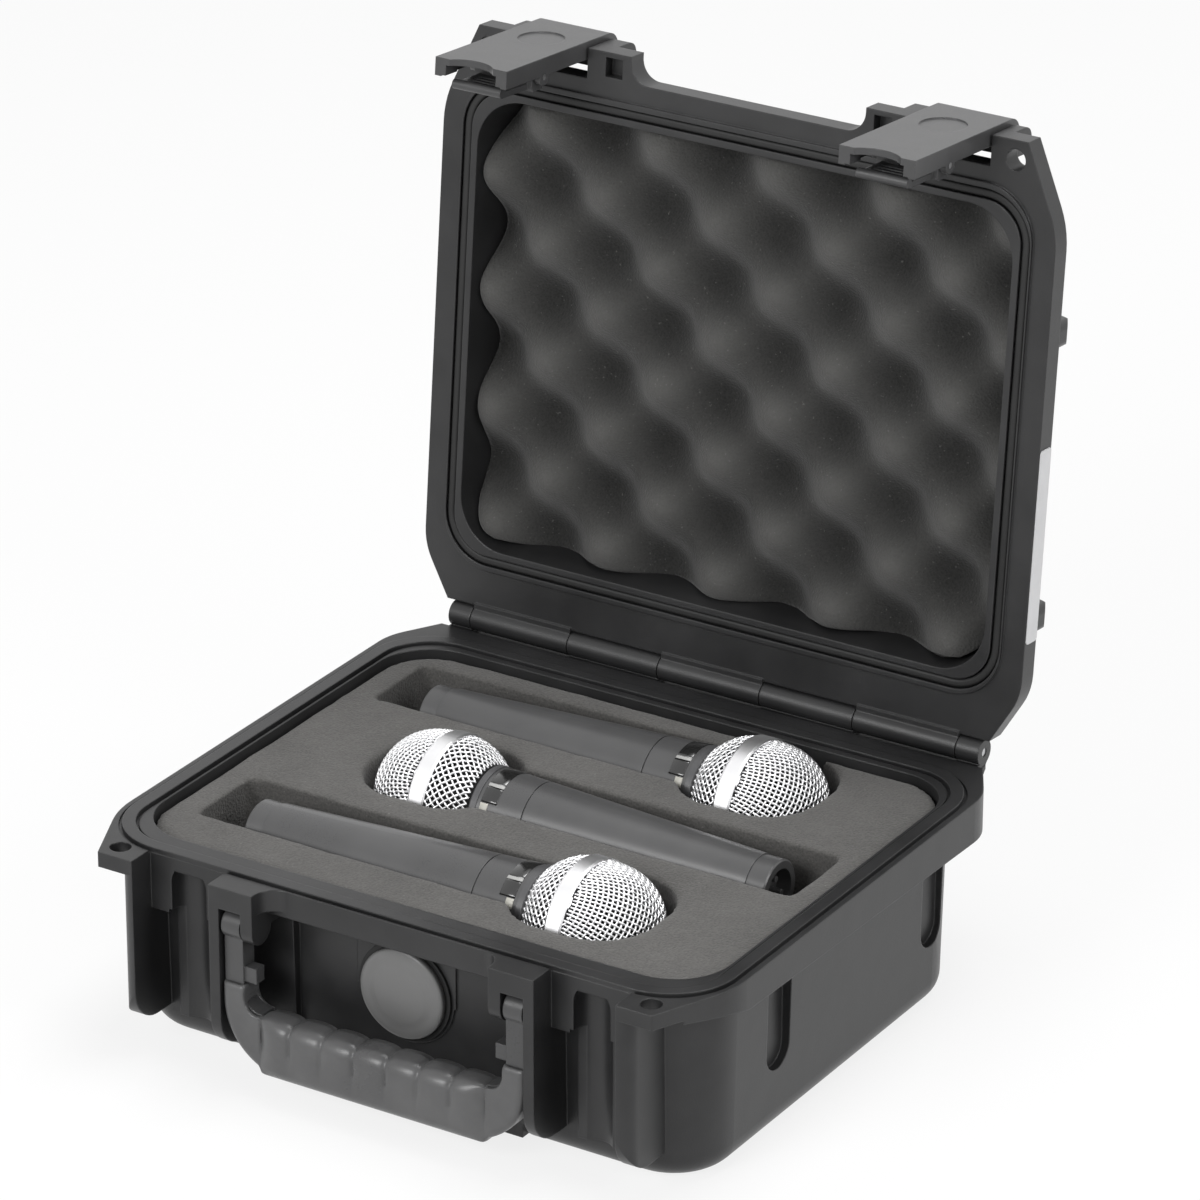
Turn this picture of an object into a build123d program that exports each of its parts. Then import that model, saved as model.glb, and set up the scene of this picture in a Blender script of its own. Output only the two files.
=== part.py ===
from build123d import *
import os
from math import cos, radians, sin, tan

# Microphone case: a moulded base and a hinged lid, two over-centre latches with
# sprung triggers, a swinging handle, a pressure valve and three microphones that
# lie in cut foam.  Millimetres, +Z up, +Y to the back.  The origin is the centre
# of the face that the base stands on, and y = 0 is the middle of the seal.
# The lid and all that it carries are drawn closed and turned open at the end.

# ------------------------------------------------------------ overall sizes
CASE_WIDTH = 262.0          # across the side flanges
SEAL_DEPTH = 203.4          # front to back, between the centres of the sealing ridge
BASE_HEIGHT = 80.0          # standing face to parting plane
LID_HEIGHT = 33.0           # parting plane to the top of the lid
LID_OPEN = 95.3             # degrees that the lid stands open at rest

# ------------------------------------------------------------ walls and rims
WALL = 3.5
DRAFT = 1.2                 # degrees on the base walls
LID_DRAFT = 6.0             # degrees on the lid walls
BODY_RADIUS = 26.0          # upright corners of the base
BOTTOM_ROUND = 10.0
LID_ROUND = 9.0
SIDE_LEDGE = 7.0            # flange edge to body wall, at the sides
FRONT_LEDGE = 10.5          # the same at the front
BACK_LEDGE = 15.0           # the same at the back
FRONT_RIM = 4.3             # seal centre to the plain front edge
BACK_RIM = 11.9             # seal centre to the back edge
FLANGE_THICK = 6.0
SIDE_BAND = 16.9            # height of the base's side bands, at the back
SIDE_BAND_MIDDLE = 12.7     # the same behind the front corners
SIDE_BAND_CORNER = 9.9      # the same where the front corners are cut
SIDE_BAND_STEP = 11.0       # from the corner cut to full height
FRONT_BAND = 10.5           # height of the base's middle front band
LID_BAND = 10.1             # height of the lid's flange
PARTING_GAP = 0.3           # left between the closed rims

# ------------------------------------------------------------ finger grooves in the base's sides
GROOVE_PLACES = [-40.0, 70.6]  # along the sides
GROOVE_WIDTH = 16.0
GROOVE_FOOT = 26.0          # height of the round lower end
GROOVE_DEPTH = 4.3

# ------------------------------------------------------------ seal
RIDGE_WIDTH = 5.0
RIDGE_HEIGHT = 1.0
RIDGE_SIDE = 5.8            # side flange edge to ridge centre
RIDGE_RADIUS = 24.0
RIM_GROOVE_WIDTH = 1.2
RIM_GROOVE_DEPTH = 1.0
STEP_DEPTH = 1.3            # lid relief over the ridge
STEP_CLEAR = 0.8            # ridge flank to the step beside it
GASKET_INSET_X = 5.8        # ridge centre to gasket centre, at the sides
GASKET_INSET_Y = 7.5        # the same at the front and back
GASKET_RADIUS = 17.5
GASKET_GROOVE_WIDTH = 4.0
GASKET_GROOVE_DEPTH = 3.4
GASKET_WIDTH = 3.4
GASKET_SINK = 0.4           # gasket face below the lid rim
GASKET_LAND = 2.5           # gasket groove to the lid's inner wall
LID_INNER_RADIUS = 20.0
LID_ROOF = 3.7
LID_BACK_EXTRA = 3.0        # the lid's back wall is thicker by this
LID_POCKET = 7.5            # square pockets in the lid's inner pads
LID_POCKET_DEPTH = 5.0

# ------------------------------------------------------------ front corners, bays and handle
PAD_REACH = 10.0            # pads stand out from the plain front edge
CORNER_CUT_X = 14.0         # corner chamfers, across and along
CORNER_CUT_Y = 31.6
BACK_CUT_X = 11.5
BACK_CUT_Y = 20.0
FRONT_CORNER_SOFT = 40.0    # rounding where the cut corners meet the sides
BACK_CORNER_SOFT = 25.0
LATCH_FROM_SIDE = 45.5      # side flange edge to latch centre
LATCH_CLEAR = 1.2           # latch cover to each side of its bay
BAY_SET_BACK = 1.6          # catch face in from the ridge side of the front edge
EAR_WALL = 4.3              # wall between latch bay and handle slot
ARM_CLEAR = 0.85            # handle arm to each side of its slot
PIVOT_EAR = 5.0
BLOCK_HEIGHT = 8.5
PAD_FILLET = 8.0            # hollow curve beside the pads
POST_WIDTH = 6.0            # corner posts beside the latch bays
POST_ROUND = 5.9
FRONT_FOOT = 12.5           # height at which the front ribs end
FRONT_FOOT_ROUND = 14.0
PADLOCK_RADIUS = 4.0
PADLOCK_FROM_SIDE = 18.7
PADLOCK_FROM_PAD = 7.5

CATCH_HEIGHT = 22.0         # parting plane down to the catch's hooking face
CATCH_LIP = 1.2
CATCH_LIP_DROP = 1.4
CHANNEL_RADIUS = 7.6
CHANNEL_RIB = 1.5
CHANNEL_TOP = 3.0
CHANNEL_SET_BACK = 5.4      # lower channel ribs behind the catch face

HANDLE_PIVOT_DROP = 15.5    # below the parting plane
HANDLE_PIVOT_IN = 6.0       # behind the pad face, and the radius of its ear
HANDLE_ARM = 7.8
HANDLE_THICK = 7.0
HANDLE_DROP = 55.5          # pivot to the frame's lower edge
HANDLE_BAR = 23.0           # height of the frame's lower corners
HANDLE_TANG = 15.0          # height of the bar inside the grip
HANDLE_CORNER = 26.0
HANDLE_NUB = 5.0            # nubs inside the arms
HANDLE_PIN_RADIUS = 2.0
GRIP_LENGTH = 96.0
GRIP_HEIGHT = 24.0
GRIP_FORWARD = 1.0          # grip centre in front of the arms
GRIP_THICK = 15.0
GRIP_ROUND = 6.0
GRIP_SWELLS = 7
SWELL_ROUND = 1.6           # rounding of each swell's ends
GRIP_PROUD = 0.5            # sleeve over the frame's arms and bar
CORNER_THICK = 11.0         # sleeve round the frame's corners
CORNER_SOFT = 2.5
SLEEVE_TOP = 42.5           # height at which the sleeve ends on the arms

# ------------------------------------------------------------ valve
RECESS_DEPTH = 4.3          # middle front recess behind the body wall
RECESS_FOOT = 12.0
VALVE_HEIGHT = 46.0
VALVE_PAD_HALF = 21.0
VALVE_PAD_PROUD = 1.0
VALVE_CAP_RADIUS = 17.6
VALVE_CAP_THICK = 3.8
VALVE_SEAL_RADIUS = 19.4
VALVE_SEAL_THICK = 1.2
VALVE_BUSH_RADIUS = 7.0
VALVE_BORE = 4.0
VALVE_NUT = 20.0            # across the flats
VALVE_NUT_THICK = 4.0

# ------------------------------------------------------------ hinge
HINGE_BACK = 5.6            # behind the back edge
HINGE_RISE = 3.5            # above the parting plane
KNUCKLE_RADIUS = 5.0
HINGE_PIN_RADIUS = 1.6
RUNNING = 0.05              # radial clearance of every turning pin
HINGE_SPLITS = [-117.0, -107.0, -63.0, -22.5, 22.5, 63.0, 107.0, 117.0]
KNUCKLE_GAP = 0.4
SHELF_GAP = 0.6             # base shelf to the lid's knuckles above it

# ------------------------------------------------------------ latch
LATCH_WIDTH = 31.0
LATCH_FACE = 2.0            # cover stands out past the pads
LATCH_PIVOT_IN = 7.0        # behind the cover's face, and the radius of its end
LATCH_PIVOT_RISE = 18.0     # above the parting plane
LATCH_LENGTH = 71.0         # pivot to the free end
LATCH_SKIN = 2.6
LEG_WIDTH = 4.6             # the legs at the cover's free end
LEG_LENGTH = 8.0
LATCH_PIN_RADIUS = 2.0
LATCH_PIN_SEAT = 4.5        # pin's hold in each lid ear
TRIGGER_DROP = 44.5         # latch pivot to trigger pivot
TRIGGER_IN = 7.5            # cover face to trigger pivot
TRIGGER_PIN_RADIUS = 1.2
TRIGGER_HUB = 2.9
TRIGGER_LOBE = 3.2
TRIGGER_PLATE = 2.2
TRIGGER_BEAD = 1.9          # radius of the bead along the finger edge
TRIGGER_REACH = 12.4        # cover face to the trigger's inner face
TRIGGER_WIDTH = 21.0
SPRING_WIRE = 0.6
SPRING_RADIUS = 2.0
SPRING_TURNS = 5
THUMB_HALF_WIDTH = 8.5
THUMB_HALF_HEIGHT = 10.0
THUMB_DEPTH = 0.5
LATCH_EAR_RADIUS = 5.0
LATCH_EAR_IN = 8.0          # width of the ear on the handle's side
LATCH_EAR_OUT = 4.8         # width of the ear on the corner's side
LABEL_LENGTH = 75.0
LABEL_HEIGHT = 8.0
LABEL_MIDDLE_Y = 35.5
LABEL_THICK = 0.4
NUB_PLACES = [-41.0, 69.0]  # along the lid's sides
NUB_WIDTH = 10.0
NUB_IN = 3.2                # in from the side of the case
NUB_SOFT = 3.0

# ------------------------------------------------------------ foam and microphones
FOAM_GAP = 0.5              # foam to shell walls
FLOOR_PAD = 11.5
FOAM_TOP_DROP = 3.0         # foam face below the parting plane
LID_FOAM_GAP = 0.6
LID_FOAM_THICK = 15.6
MIC_PLACES = [0.232, 0.549, 0.853]  # rows, as parts of the foam's depth
MIC_AXIS_DROP = 10.7        # axis below the foam's face
GRILLE_MARGIN = 43.0        # foam end to the grille's end
TAIL_MARGIN = 27.0          # foam end to the tail's end
FINGER_GAP = 15.8           # pocket past the tail
GRILLE_RADIUS = 25.5        # over the grille's band
GRILLE_PROUD = 0.5          # band over the mesh beside it
GRILLE_FLARE = 1.1          # grille's foot over the neck
GRILLE_BULGE = 1.5          # the lower grille's middle, past the straight line
GRILLE_END = 11.0
GRILLE_LENGTH = 46.0
GRILLE_LOWER = 14.0
GRILLE_BAND = 7.0
GRILLE_SKIN = 1.0
COLLAR_LENGTH = 3.3
COLLAR_PROUD = 0.3
NECK_LENGTH = 19.0
NECK_RADIUS = 16.9
TAIL_RADIUS = 12.0
TAIL_RING = 8.0
MIC_SKIN = 1.8
SEAM = 0.5
CONNECTOR_RADIUS = 8.6
CONNECTOR_PIN = 1.2
CAPSULE_RADIUS = 11.0
CAPSULE_LENGTH = 26.0
POCKET_CLEAR = 0.3
GRILLE_POCKET_CLEAR = 1.5
GRILLE_POCKET_BACK = 8.0    # pocket past the grille's foot
GRILLE_POCKET_RADIUS = 21.0
TAIL_POCKET_RADIUS = 2.5

# ------------------------------------------------------------ places worked out from the sizes
HALF_X = CASE_WIDTH / 2
SEAL_Y = SEAL_DEPTH / 2
RIM_Z = BASE_HEIGHT
LID_Z = RIM_Z + PARTING_GAP
FRONT_Y = -(SEAL_Y + FRONT_RIM)
BACK_Y = SEAL_Y + BACK_RIM
PAD_Y = FRONT_Y - PAD_REACH
CATCH_Y = FRONT_Y + BAY_SET_BACK
BODY_X = HALF_X - SIDE_LEDGE
BODY_FRONT = FRONT_Y + FRONT_LEDGE
BODY_BACK = BACK_Y - BACK_LEDGE
LATCH_X = HALF_X - LATCH_FROM_SIDE
GROOVE_X = BODY_X - GROOVE_DEPTH
BAY_IN = LATCH_X - LATCH_WIDTH / 2 - LATCH_CLEAR
BAY_OUT = LATCH_X + LATCH_WIDTH / 2 + LATCH_CLEAR
SLOT_OUT = BAY_IN - EAR_WALL
SLOT_IN = SLOT_OUT - HANDLE_ARM - 2 * ARM_CLEAR
BLOCK_IN = SLOT_IN - PIVOT_EAR
PADLOCK_X = HALF_X - PADLOCK_FROM_SIDE
PADLOCK_Y = PAD_Y + PADLOCK_FROM_PAD
CATCH_Z = RIM_Z - CATCH_HEIGHT
PIVOT_Y = PAD_Y + HANDLE_PIVOT_IN
PIVOT_Z = RIM_Z - HANDLE_PIVOT_DROP
RECESS_Y = BODY_FRONT + RECESS_DEPTH
VALVE_FACE = RECESS_Y - VALVE_PAD_PROUD
HINGE_Y = BACK_Y + HINGE_BACK
HINGE_Z = RIM_Z + HINGE_RISE
COVER_Y = PAD_Y - LATCH_FACE
LATCH_Y = COVER_Y + LATCH_PIVOT_IN
LATCH_Z = RIM_Z + LATCH_PIVOT_RISE
TRIGGER_Y = COVER_Y + TRIGGER_IN
TRIGGER_Z = LATCH_Z - TRIGGER_DROP
FOAM_TOP = RIM_Z - FOAM_TOP_DROP
FOAM_X = BODY_X - WALL - FOAM_GAP
MIC_Z = FOAM_TOP - MIC_AXIS_DROP
RIDGE_X = HALF_X - RIDGE_SIDE
GASKET_X = RIDGE_X - GASKET_INSET_X
GASKET_Y = SEAL_Y - GASKET_INSET_Y
LID_INNER_X = GASKET_X - GASKET_GROOVE_WIDTH / 2 - GASKET_LAND
LID_INNER_Y = GASKET_Y - GASKET_GROOVE_WIDTH / 2 - GASKET_LAND
LID_TOP = RIM_Z + LID_HEIGHT
LID_CEILING = LID_TOP - LID_ROOF
FOAM_FRONT = BODY_FRONT + WALL + FOAM_GAP
FOAM_BACK = BODY_BACK - WALL - FOAM_GAP
MIC_LENGTH = 2 * FOAM_X - GRILLE_MARGIN - TAIL_MARGIN
GRILLE_FROM = MIC_LENGTH - GRILLE_LENGTH
GRILLE_MESH = GRILLE_RADIUS - GRILLE_PROUD
GRILLE_FOOT = NECK_RADIUS + GRILLE_FLARE
COLLAR_RADIUS = NECK_RADIUS + COLLAR_PROUD


# ------------------------------------------------------------ shape helpers
def block(x0, x1, y0, y1, z0, z1):
    """A box between two corners."""
    return Pos((x0 + x1) / 2, (y0 + y1) / 2, (z0 + z1) / 2) * Box(x1 - x0, y1 - y0, z1 - z0)


def rod(x0, x1, y, z, radius):
    """A cylinder along X."""
    return Pos((x0 + x1) / 2, y, z) * Rot(0, 90, 0) * Cylinder(radius, x1 - x0)


def slab(points, x0, x1):
    """A profile of (y, z) points, from x0 to x1."""
    outline = Polyline(*[(x0, y, z) for y, z in points], close=True)
    return extrude(make_face(outline), x1 - x0, dir=(1, 0, 0))


def tray(half_x, y0, y1, radius, z, height, draft):
    """A rounded rectangle that grows from z by height and narrows by its draft."""
    outline = Pos(0, (y0 + y1) / 2, z) * RectangleRounded(2 * half_x, y1 - y0, radius)
    return extrude(outline, abs(height), dir=(0, 0, 1 if height > 0 else -1), taper=draft)


def loop(half_x, half_y, radius, width, z0, z1):
    """A closed rib that follows the rim; the radius is that of its centre line."""
    outer = RectangleRounded(2 * half_x + width, 2 * half_y + width, radius + width / 2)
    inner = RectangleRounded(2 * half_x - width, 2 * half_y - width, radius - width / 2)
    return Pos(0, 0, z0) * extrude(outer - inner, z1 - z0)


def mirrored(shape):
    """The shape and its copy on the other side."""
    return [shape, mirror(shape, about=Plane.YZ)]


def side_copy(shape, side):
    """The shape as drawn for +X, or its mirror image for side = -1."""
    return shape if side > 0 else mirror(shape, about=Plane.YZ)


def opened(shape):
    """A closed lid piece, turned to the open rest position."""
    return shape.rotate(Axis((0, HINGE_Y, HINGE_Z), (1, 0, 0)), -LID_OPEN)


def flange_outline(front_middle, bay_front, block_in):
    """The plan of base or lid rim: pads, latch bays and cut corners."""
    half = [
        (0, front_middle), (block_in, front_middle), (block_in, PAD_Y), (BAY_IN, PAD_Y),
        (BAY_IN, bay_front), (BAY_OUT, bay_front), (BAY_OUT, PAD_Y),
        (HALF_X - CORNER_CUT_X, PAD_Y), (HALF_X, PAD_Y + CORNER_CUT_Y),
        (HALF_X, BACK_Y - BACK_CUT_Y), (HALF_X - BACK_CUT_X, BACK_Y), (0, BACK_Y),
    ]
    other = [(-x, y) for x, y in reversed(half[1:-1])]
    outline = make_face(Polyline(*half, *other, close=True))
    for y, soft in ((PAD_Y + CORNER_CUT_Y, FRONT_CORNER_SOFT), (BACK_Y - BACK_CUT_Y, BACK_CORNER_SOFT)):
        outline = fillet(outline.vertices().filter_by_position(Axis.Y, y - 0.1, y + 0.1), soft)
    return outline


def side_foot(y):
    """Height of the underside of the base's side bands at y."""
    first, last = PAD_Y + CORNER_CUT_Y + SIDE_BAND_STEP, BACK_Y
    share = (y - first) / (last - first)
    return RIM_Z - SIDE_BAND_MIDDLE - share * (SIDE_BAND - SIDE_BAND_MIDDLE)


def side_bands():
    """The deep bands under the base's rim at its sides, thinner round the front corners."""
    cut_y = PAD_Y + CORNER_CUT_Y
    profile = [
        (PAD_Y, RIM_Z), (PAD_Y, RIM_Z - FLANGE_THICK), (cut_y, RIM_Z - SIDE_BAND_CORNER),
        (cut_y + SIDE_BAND_STEP, side_foot(cut_y + SIDE_BAND_STEP)), (BACK_Y, side_foot(BACK_Y)), (BACK_Y, RIM_Z),
    ]
    plan = Pos(0, 0, RIM_Z) * extrude(flange_outline(FRONT_Y, CATCH_Y, BLOCK_IN), RIM_Z / 2, dir=(0, 0, -1))
    return plan & slab(profile, BODY_X - WALL / 2, HALF_X)


# ------------------------------------------------------------ base shell
def front_ribs():
    """One side's ear wall, pivot ear, post, catch and channel, below the rim."""
    top = RIM_Z - FLANGE_THICK
    root = BODY_FRONT + WALL / 2
    ear_wall = block(SLOT_OUT, BAY_IN, PAD_Y, root, FRONT_FOOT, top)
    post = block(BAY_OUT, BAY_OUT + POST_WIDTH, PAD_Y, BODY_FRONT + POST_WIDTH, FRONT_FOOT, top)
    outer = post.edges().filter_by(Axis.Z).filter_by_position(Axis.Y, PAD_Y - 0.1, PAD_Y + 0.1)
    post = fillet(outer.sort_by(Axis.X)[-1], POST_ROUND)
    bridge = block(BLOCK_IN, BAY_IN, PAD_Y, root, RIM_Z - BLOCK_HEIGHT, RIM_Z)
    ear = block(BLOCK_IN, SLOT_IN, PAD_Y, root, PIVOT_Z, RIM_Z - BLOCK_HEIGHT)
    ear += rod(BLOCK_IN, SLOT_IN, PIVOT_Y, PIVOT_Z, HANDLE_PIVOT_IN)

    catch = block(BAY_IN, BAY_OUT, CATCH_Y, root, CATCH_Z, RIM_Z)
    catch += block(BAY_IN, BAY_OUT, CATCH_Y, CATCH_Y + CATCH_LIP, CATCH_Z - CATCH_LIP_DROP, CATCH_Z)
    rib_half = CHANNEL_RADIUS + CHANNEL_RIB
    low_y = CATCH_Y + CHANNEL_SET_BACK
    pad = block(LATCH_X - rib_half, LATCH_X + rib_half, low_y, root, FRONT_FOOT, CATCH_Z)
    channel_z = RIM_Z - CHANNEL_TOP - CHANNEL_RADIUS
    channel = Pos(LATCH_X, CATCH_Y, channel_z / 2) * Cylinder(CHANNEL_RADIUS, channel_z)
    channel += Pos(LATCH_X, CATCH_Y, channel_z) * Sphere(CHANNEL_RADIUS)
    lip_gap = block(
        LATCH_X - rib_half, LATCH_X + rib_half,
        CATCH_Y - 1, CATCH_Y + CATCH_LIP, CATCH_Z - CATCH_LIP_DROP - 1, CATCH_Z,
    )
    catch = catch + pad - channel - lip_gap

    ribs = ear_wall + post + bridge + ear + catch
    keep = block(-HALF_X, HALF_X, PAD_Y, 0, FRONT_FOOT, RIM_Z)
    low_front = keep.edges().filter_by(Axis.X).sort_by(Axis.Z)[:2].sort_by(Axis.Y)[0]
    return ribs & fillet(low_front, FRONT_FOOT_ROUND)


def pad_fillet():
    """The hollow curve where the right pad meets the middle of the base's front band."""
    size = PAD_FILLET
    corner = block(BLOCK_IN - size, BLOCK_IN, FRONT_Y - size, FRONT_Y, RIM_Z - BLOCK_HEIGHT, RIM_Z)
    round_z = RIM_Z - BLOCK_HEIGHT / 2
    return corner - Pos(BLOCK_IN - size, FRONT_Y - size, round_z) * Cylinder(size, 2 * BLOCK_HEIGHT)


def handle_bores():
    """Cuts for the handle pins in one side's ears."""
    return rod(BLOCK_IN + 1, BAY_IN - 1, PIVOT_Y, PIVOT_Z, HANDLE_PIN_RADIUS)


def knuckles(owner):
    """Hinge knuckles of the base (owner 0) or the lid (owner 1), with their webs."""
    barrel = None
    splits = list(zip(HINGE_SPLITS[:-1], HINGE_SPLITS[1:]))
    inner, low, high = BACK_Y - 1, RIM_Z - FRONT_BAND, RIM_Z - 0.5
    if owner == 0:
        web = [
            (inner, high), (HINGE_Y, high), (HINGE_Y + 4.8, HINGE_Z - 1.4),
            (BACK_Y, low), (inner, low),
        ]
        shelf_y, shelf_z = HINGE_Y + 1, HINGE_Z - KNUCKLE_RADIUS - SHELF_GAP
        shelf = [(inner, shelf_z), (shelf_y, shelf_z), (shelf_y, shelf_z - 1.5), (BACK_Y, low), (inner, low)]
        barrel = slab(shelf, HINGE_SPLITS[0], HINGE_SPLITS[-1])
    else:
        lid_low, lid_high = LID_Z + 0.6, LID_Z + LID_BAND
        web = [
            (inner, lid_low), (BACK_Y + 2.4, lid_low), (HINGE_Y, HINGE_Z),
            (HINGE_Y + 4.2, HINGE_Z + 2.7), (BACK_Y, lid_high), (inner, lid_high),
        ]
    for number, (x0, x1) in enumerate(splits):
        if number % 2 != owner:
            continue
        a, b = x0 + KNUCKLE_GAP / 2, x1 - KNUCKLE_GAP / 2
        piece = rod(a, b, HINGE_Y, HINGE_Z, KNUCKLE_RADIUS) + slab(web, a, b)
        barrel = piece if barrel is None else barrel + piece
    return barrel


def hinge_bore():
    """The hole along the hinge axis."""
    first, last = HINGE_SPLITS[0], HINGE_SPLITS[-1]
    return rod(first - 1, last + 1, HINGE_Y, HINGE_Z, HINGE_PIN_RADIUS + RUNNING)


def side_grooves():
    """The four upright finger grooves in the base's side walls."""
    cuts = []
    radius = GROOVE_WIDTH / 2
    for y in GROOVE_PLACES:
        cut = block(GROOVE_X, HALF_X, y - radius, y + radius, GROOVE_FOOT + radius, RIM_Z - SIDE_BAND)
        cut += rod(GROOVE_X, HALF_X, y, GROOVE_FOOT + radius, radius)
        cuts += mirrored(cut)
    return cuts


def groove_backs(spare):
    """Blocks that carry the side wall round the finger grooves; spare grows them."""
    backs = []
    half = GROOVE_WIDTH / 2 + WALL + spare
    for y in GROOVE_PLACES:
        back = block(GROOVE_X - WALL + 1 - spare, BODY_X - WALL / 2, y - half, y + half,
                     WALL / 2 - spare, RIM_Z - SIDE_BAND + WALL + spare)
        backs += mirrored(back)
    return backs


def base_shell():
    """The moulded lower half."""
    body = tray(BODY_X, BODY_FRONT, BODY_BACK, BODY_RADIUS, RIM_Z, -BASE_HEIGHT, DRAFT)
    body = fillet(body.faces().sort_by(Axis.Z)[0].edges(), BOTTOM_ROUND)
    rim = Pos(0, 0, RIM_Z) * extrude(flange_outline(FRONT_Y, CATCH_Y, BLOCK_IN), FLANGE_THICK, dir=(0, 0, -1))
    front = block(-BLOCK_IN, BLOCK_IN, FRONT_Y, BODY_FRONT + WALL / 2, RIM_Z - FRONT_BAND, RIM_Z)
    back_x = HALF_X - BACK_CUT_X
    back = block(-back_x, back_x, BODY_BACK - WALL / 2, BACK_Y, RIM_Z - FRONT_BAND, RIM_Z)
    shell = body + rim + front + back + mirrored(side_bands())
    shell += mirrored(front_ribs())
    shell += mirrored(pad_fillet())
    shell += knuckles(0)

    cavity = tray(BODY_X - WALL, BODY_FRONT + WALL, BODY_BACK - WALL, BODY_RADIUS - WALL,
                  RIM_Z, -(BASE_HEIGHT - WALL), DRAFT)
    shell -= fillet(cavity.faces().sort_by(Axis.Z)[0].edges(), BOTTOM_ROUND - WALL)
    step_top = RIM_Z - FRONT_BAND - WALL
    inner_step = block(-BLOCK_IN, BLOCK_IN, BODY_FRONT + WALL / 2, RECESS_Y + WALL, WALL / 2, step_top + WALL)
    shell += inner_step
    shell += [body & backing for backing in groove_backs(0)]
    recess_x = BLOCK_IN - WALL
    recess = block(-recess_x, recess_x, PAD_Y, RECESS_Y, RECESS_FOOT, RIM_Z - FRONT_BAND)
    shell -= recess
    pad = block(-VALVE_PAD_HALF, VALVE_PAD_HALF, VALVE_FACE, RECESS_Y + 1, VALVE_HEIGHT - 2, RIM_Z - FRONT_BAND)
    shell += pad
    shell += Pos(0, (VALVE_FACE + RECESS_Y + 1) / 2, VALVE_HEIGHT) * Rot(90, 0, 0) * Cylinder(
        VALVE_SEAL_RADIUS + 1, RECESS_Y + 1 - VALVE_FACE)

    shell += loop(RIDGE_X, SEAL_Y, RIDGE_RADIUS, RIDGE_WIDTH, RIM_Z - 1, RIM_Z + RIDGE_HEIGHT)
    for offset in (1, -1):
        shift = offset * (RIDGE_WIDTH + RIM_GROOVE_WIDTH) / 2
        shell -= loop(RIDGE_X + shift, SEAL_Y + shift, RIDGE_RADIUS + shift, RIM_GROOVE_WIDTH,
                      RIM_Z - RIM_GROOVE_DEPTH, RIM_Z + 1)
    shell -= Pos(0, RECESS_Y, VALVE_HEIGHT) * Rot(90, 0, 0) * Cylinder(VALVE_BUSH_RADIUS + RUNNING, 30)
    shell -= mirrored(handle_bores())
    shell -= mirrored(Pos(PADLOCK_X, PADLOCK_Y, RIM_Z) * Cylinder(PADLOCK_RADIUS, 4 * FLANGE_THICK))
    shell -= hinge_bore()
    shell -= side_grooves()
    return shell


# ------------------------------------------------------------ lid shell
def ear_profile(x0, x1):
    """An ear that holds the latch pin: a boss, a dip and a buttress behind it."""
    top = LID_Z + LID_BAND
    low = LID_Z + STEP_DEPTH
    boss_back = LATCH_Y + LATCH_EAR_RADIUS
    wall = -(LID_INNER_Y + WALL / 2)
    ear = slab([(PAD_Y, low), (boss_back, low), (boss_back, LATCH_Z), (PAD_Y, LATCH_Z)], x0, x1)
    ear += rod(x0, x1, LATCH_Y, LATCH_Z, LATCH_EAR_RADIUS)
    ear += slab([(boss_back - 1, low), (wall, low), (wall, top + 8), (wall - 6, top + 8), (boss_back - 1, top)],
                x0, x1)
    return ear


def side_nub(y):
    """A buttress on the lid's right side."""
    wall, top = LID_INNER_X + WALL / 2, LID_Z + LID_BAND
    face = HALF_X - NUB_IN
    points = [(wall, top - 1), (face, top - 1), (face, top + 12), (face - 2, top + 15.5), (face - 6, top + 17),
              (wall, top + 17)]
    outline = Polyline(*[(x, y - NUB_WIDTH / 2, z) for x, z in points], close=True)
    nub = extrude(make_face(outline), NUB_WIDTH, dir=(0, 1, 0))
    return fillet(nub.edges().filter_by(Axis.Z).filter_by_position(Axis.X, face - 0.1, face + 0.1), NUB_SOFT)


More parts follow.
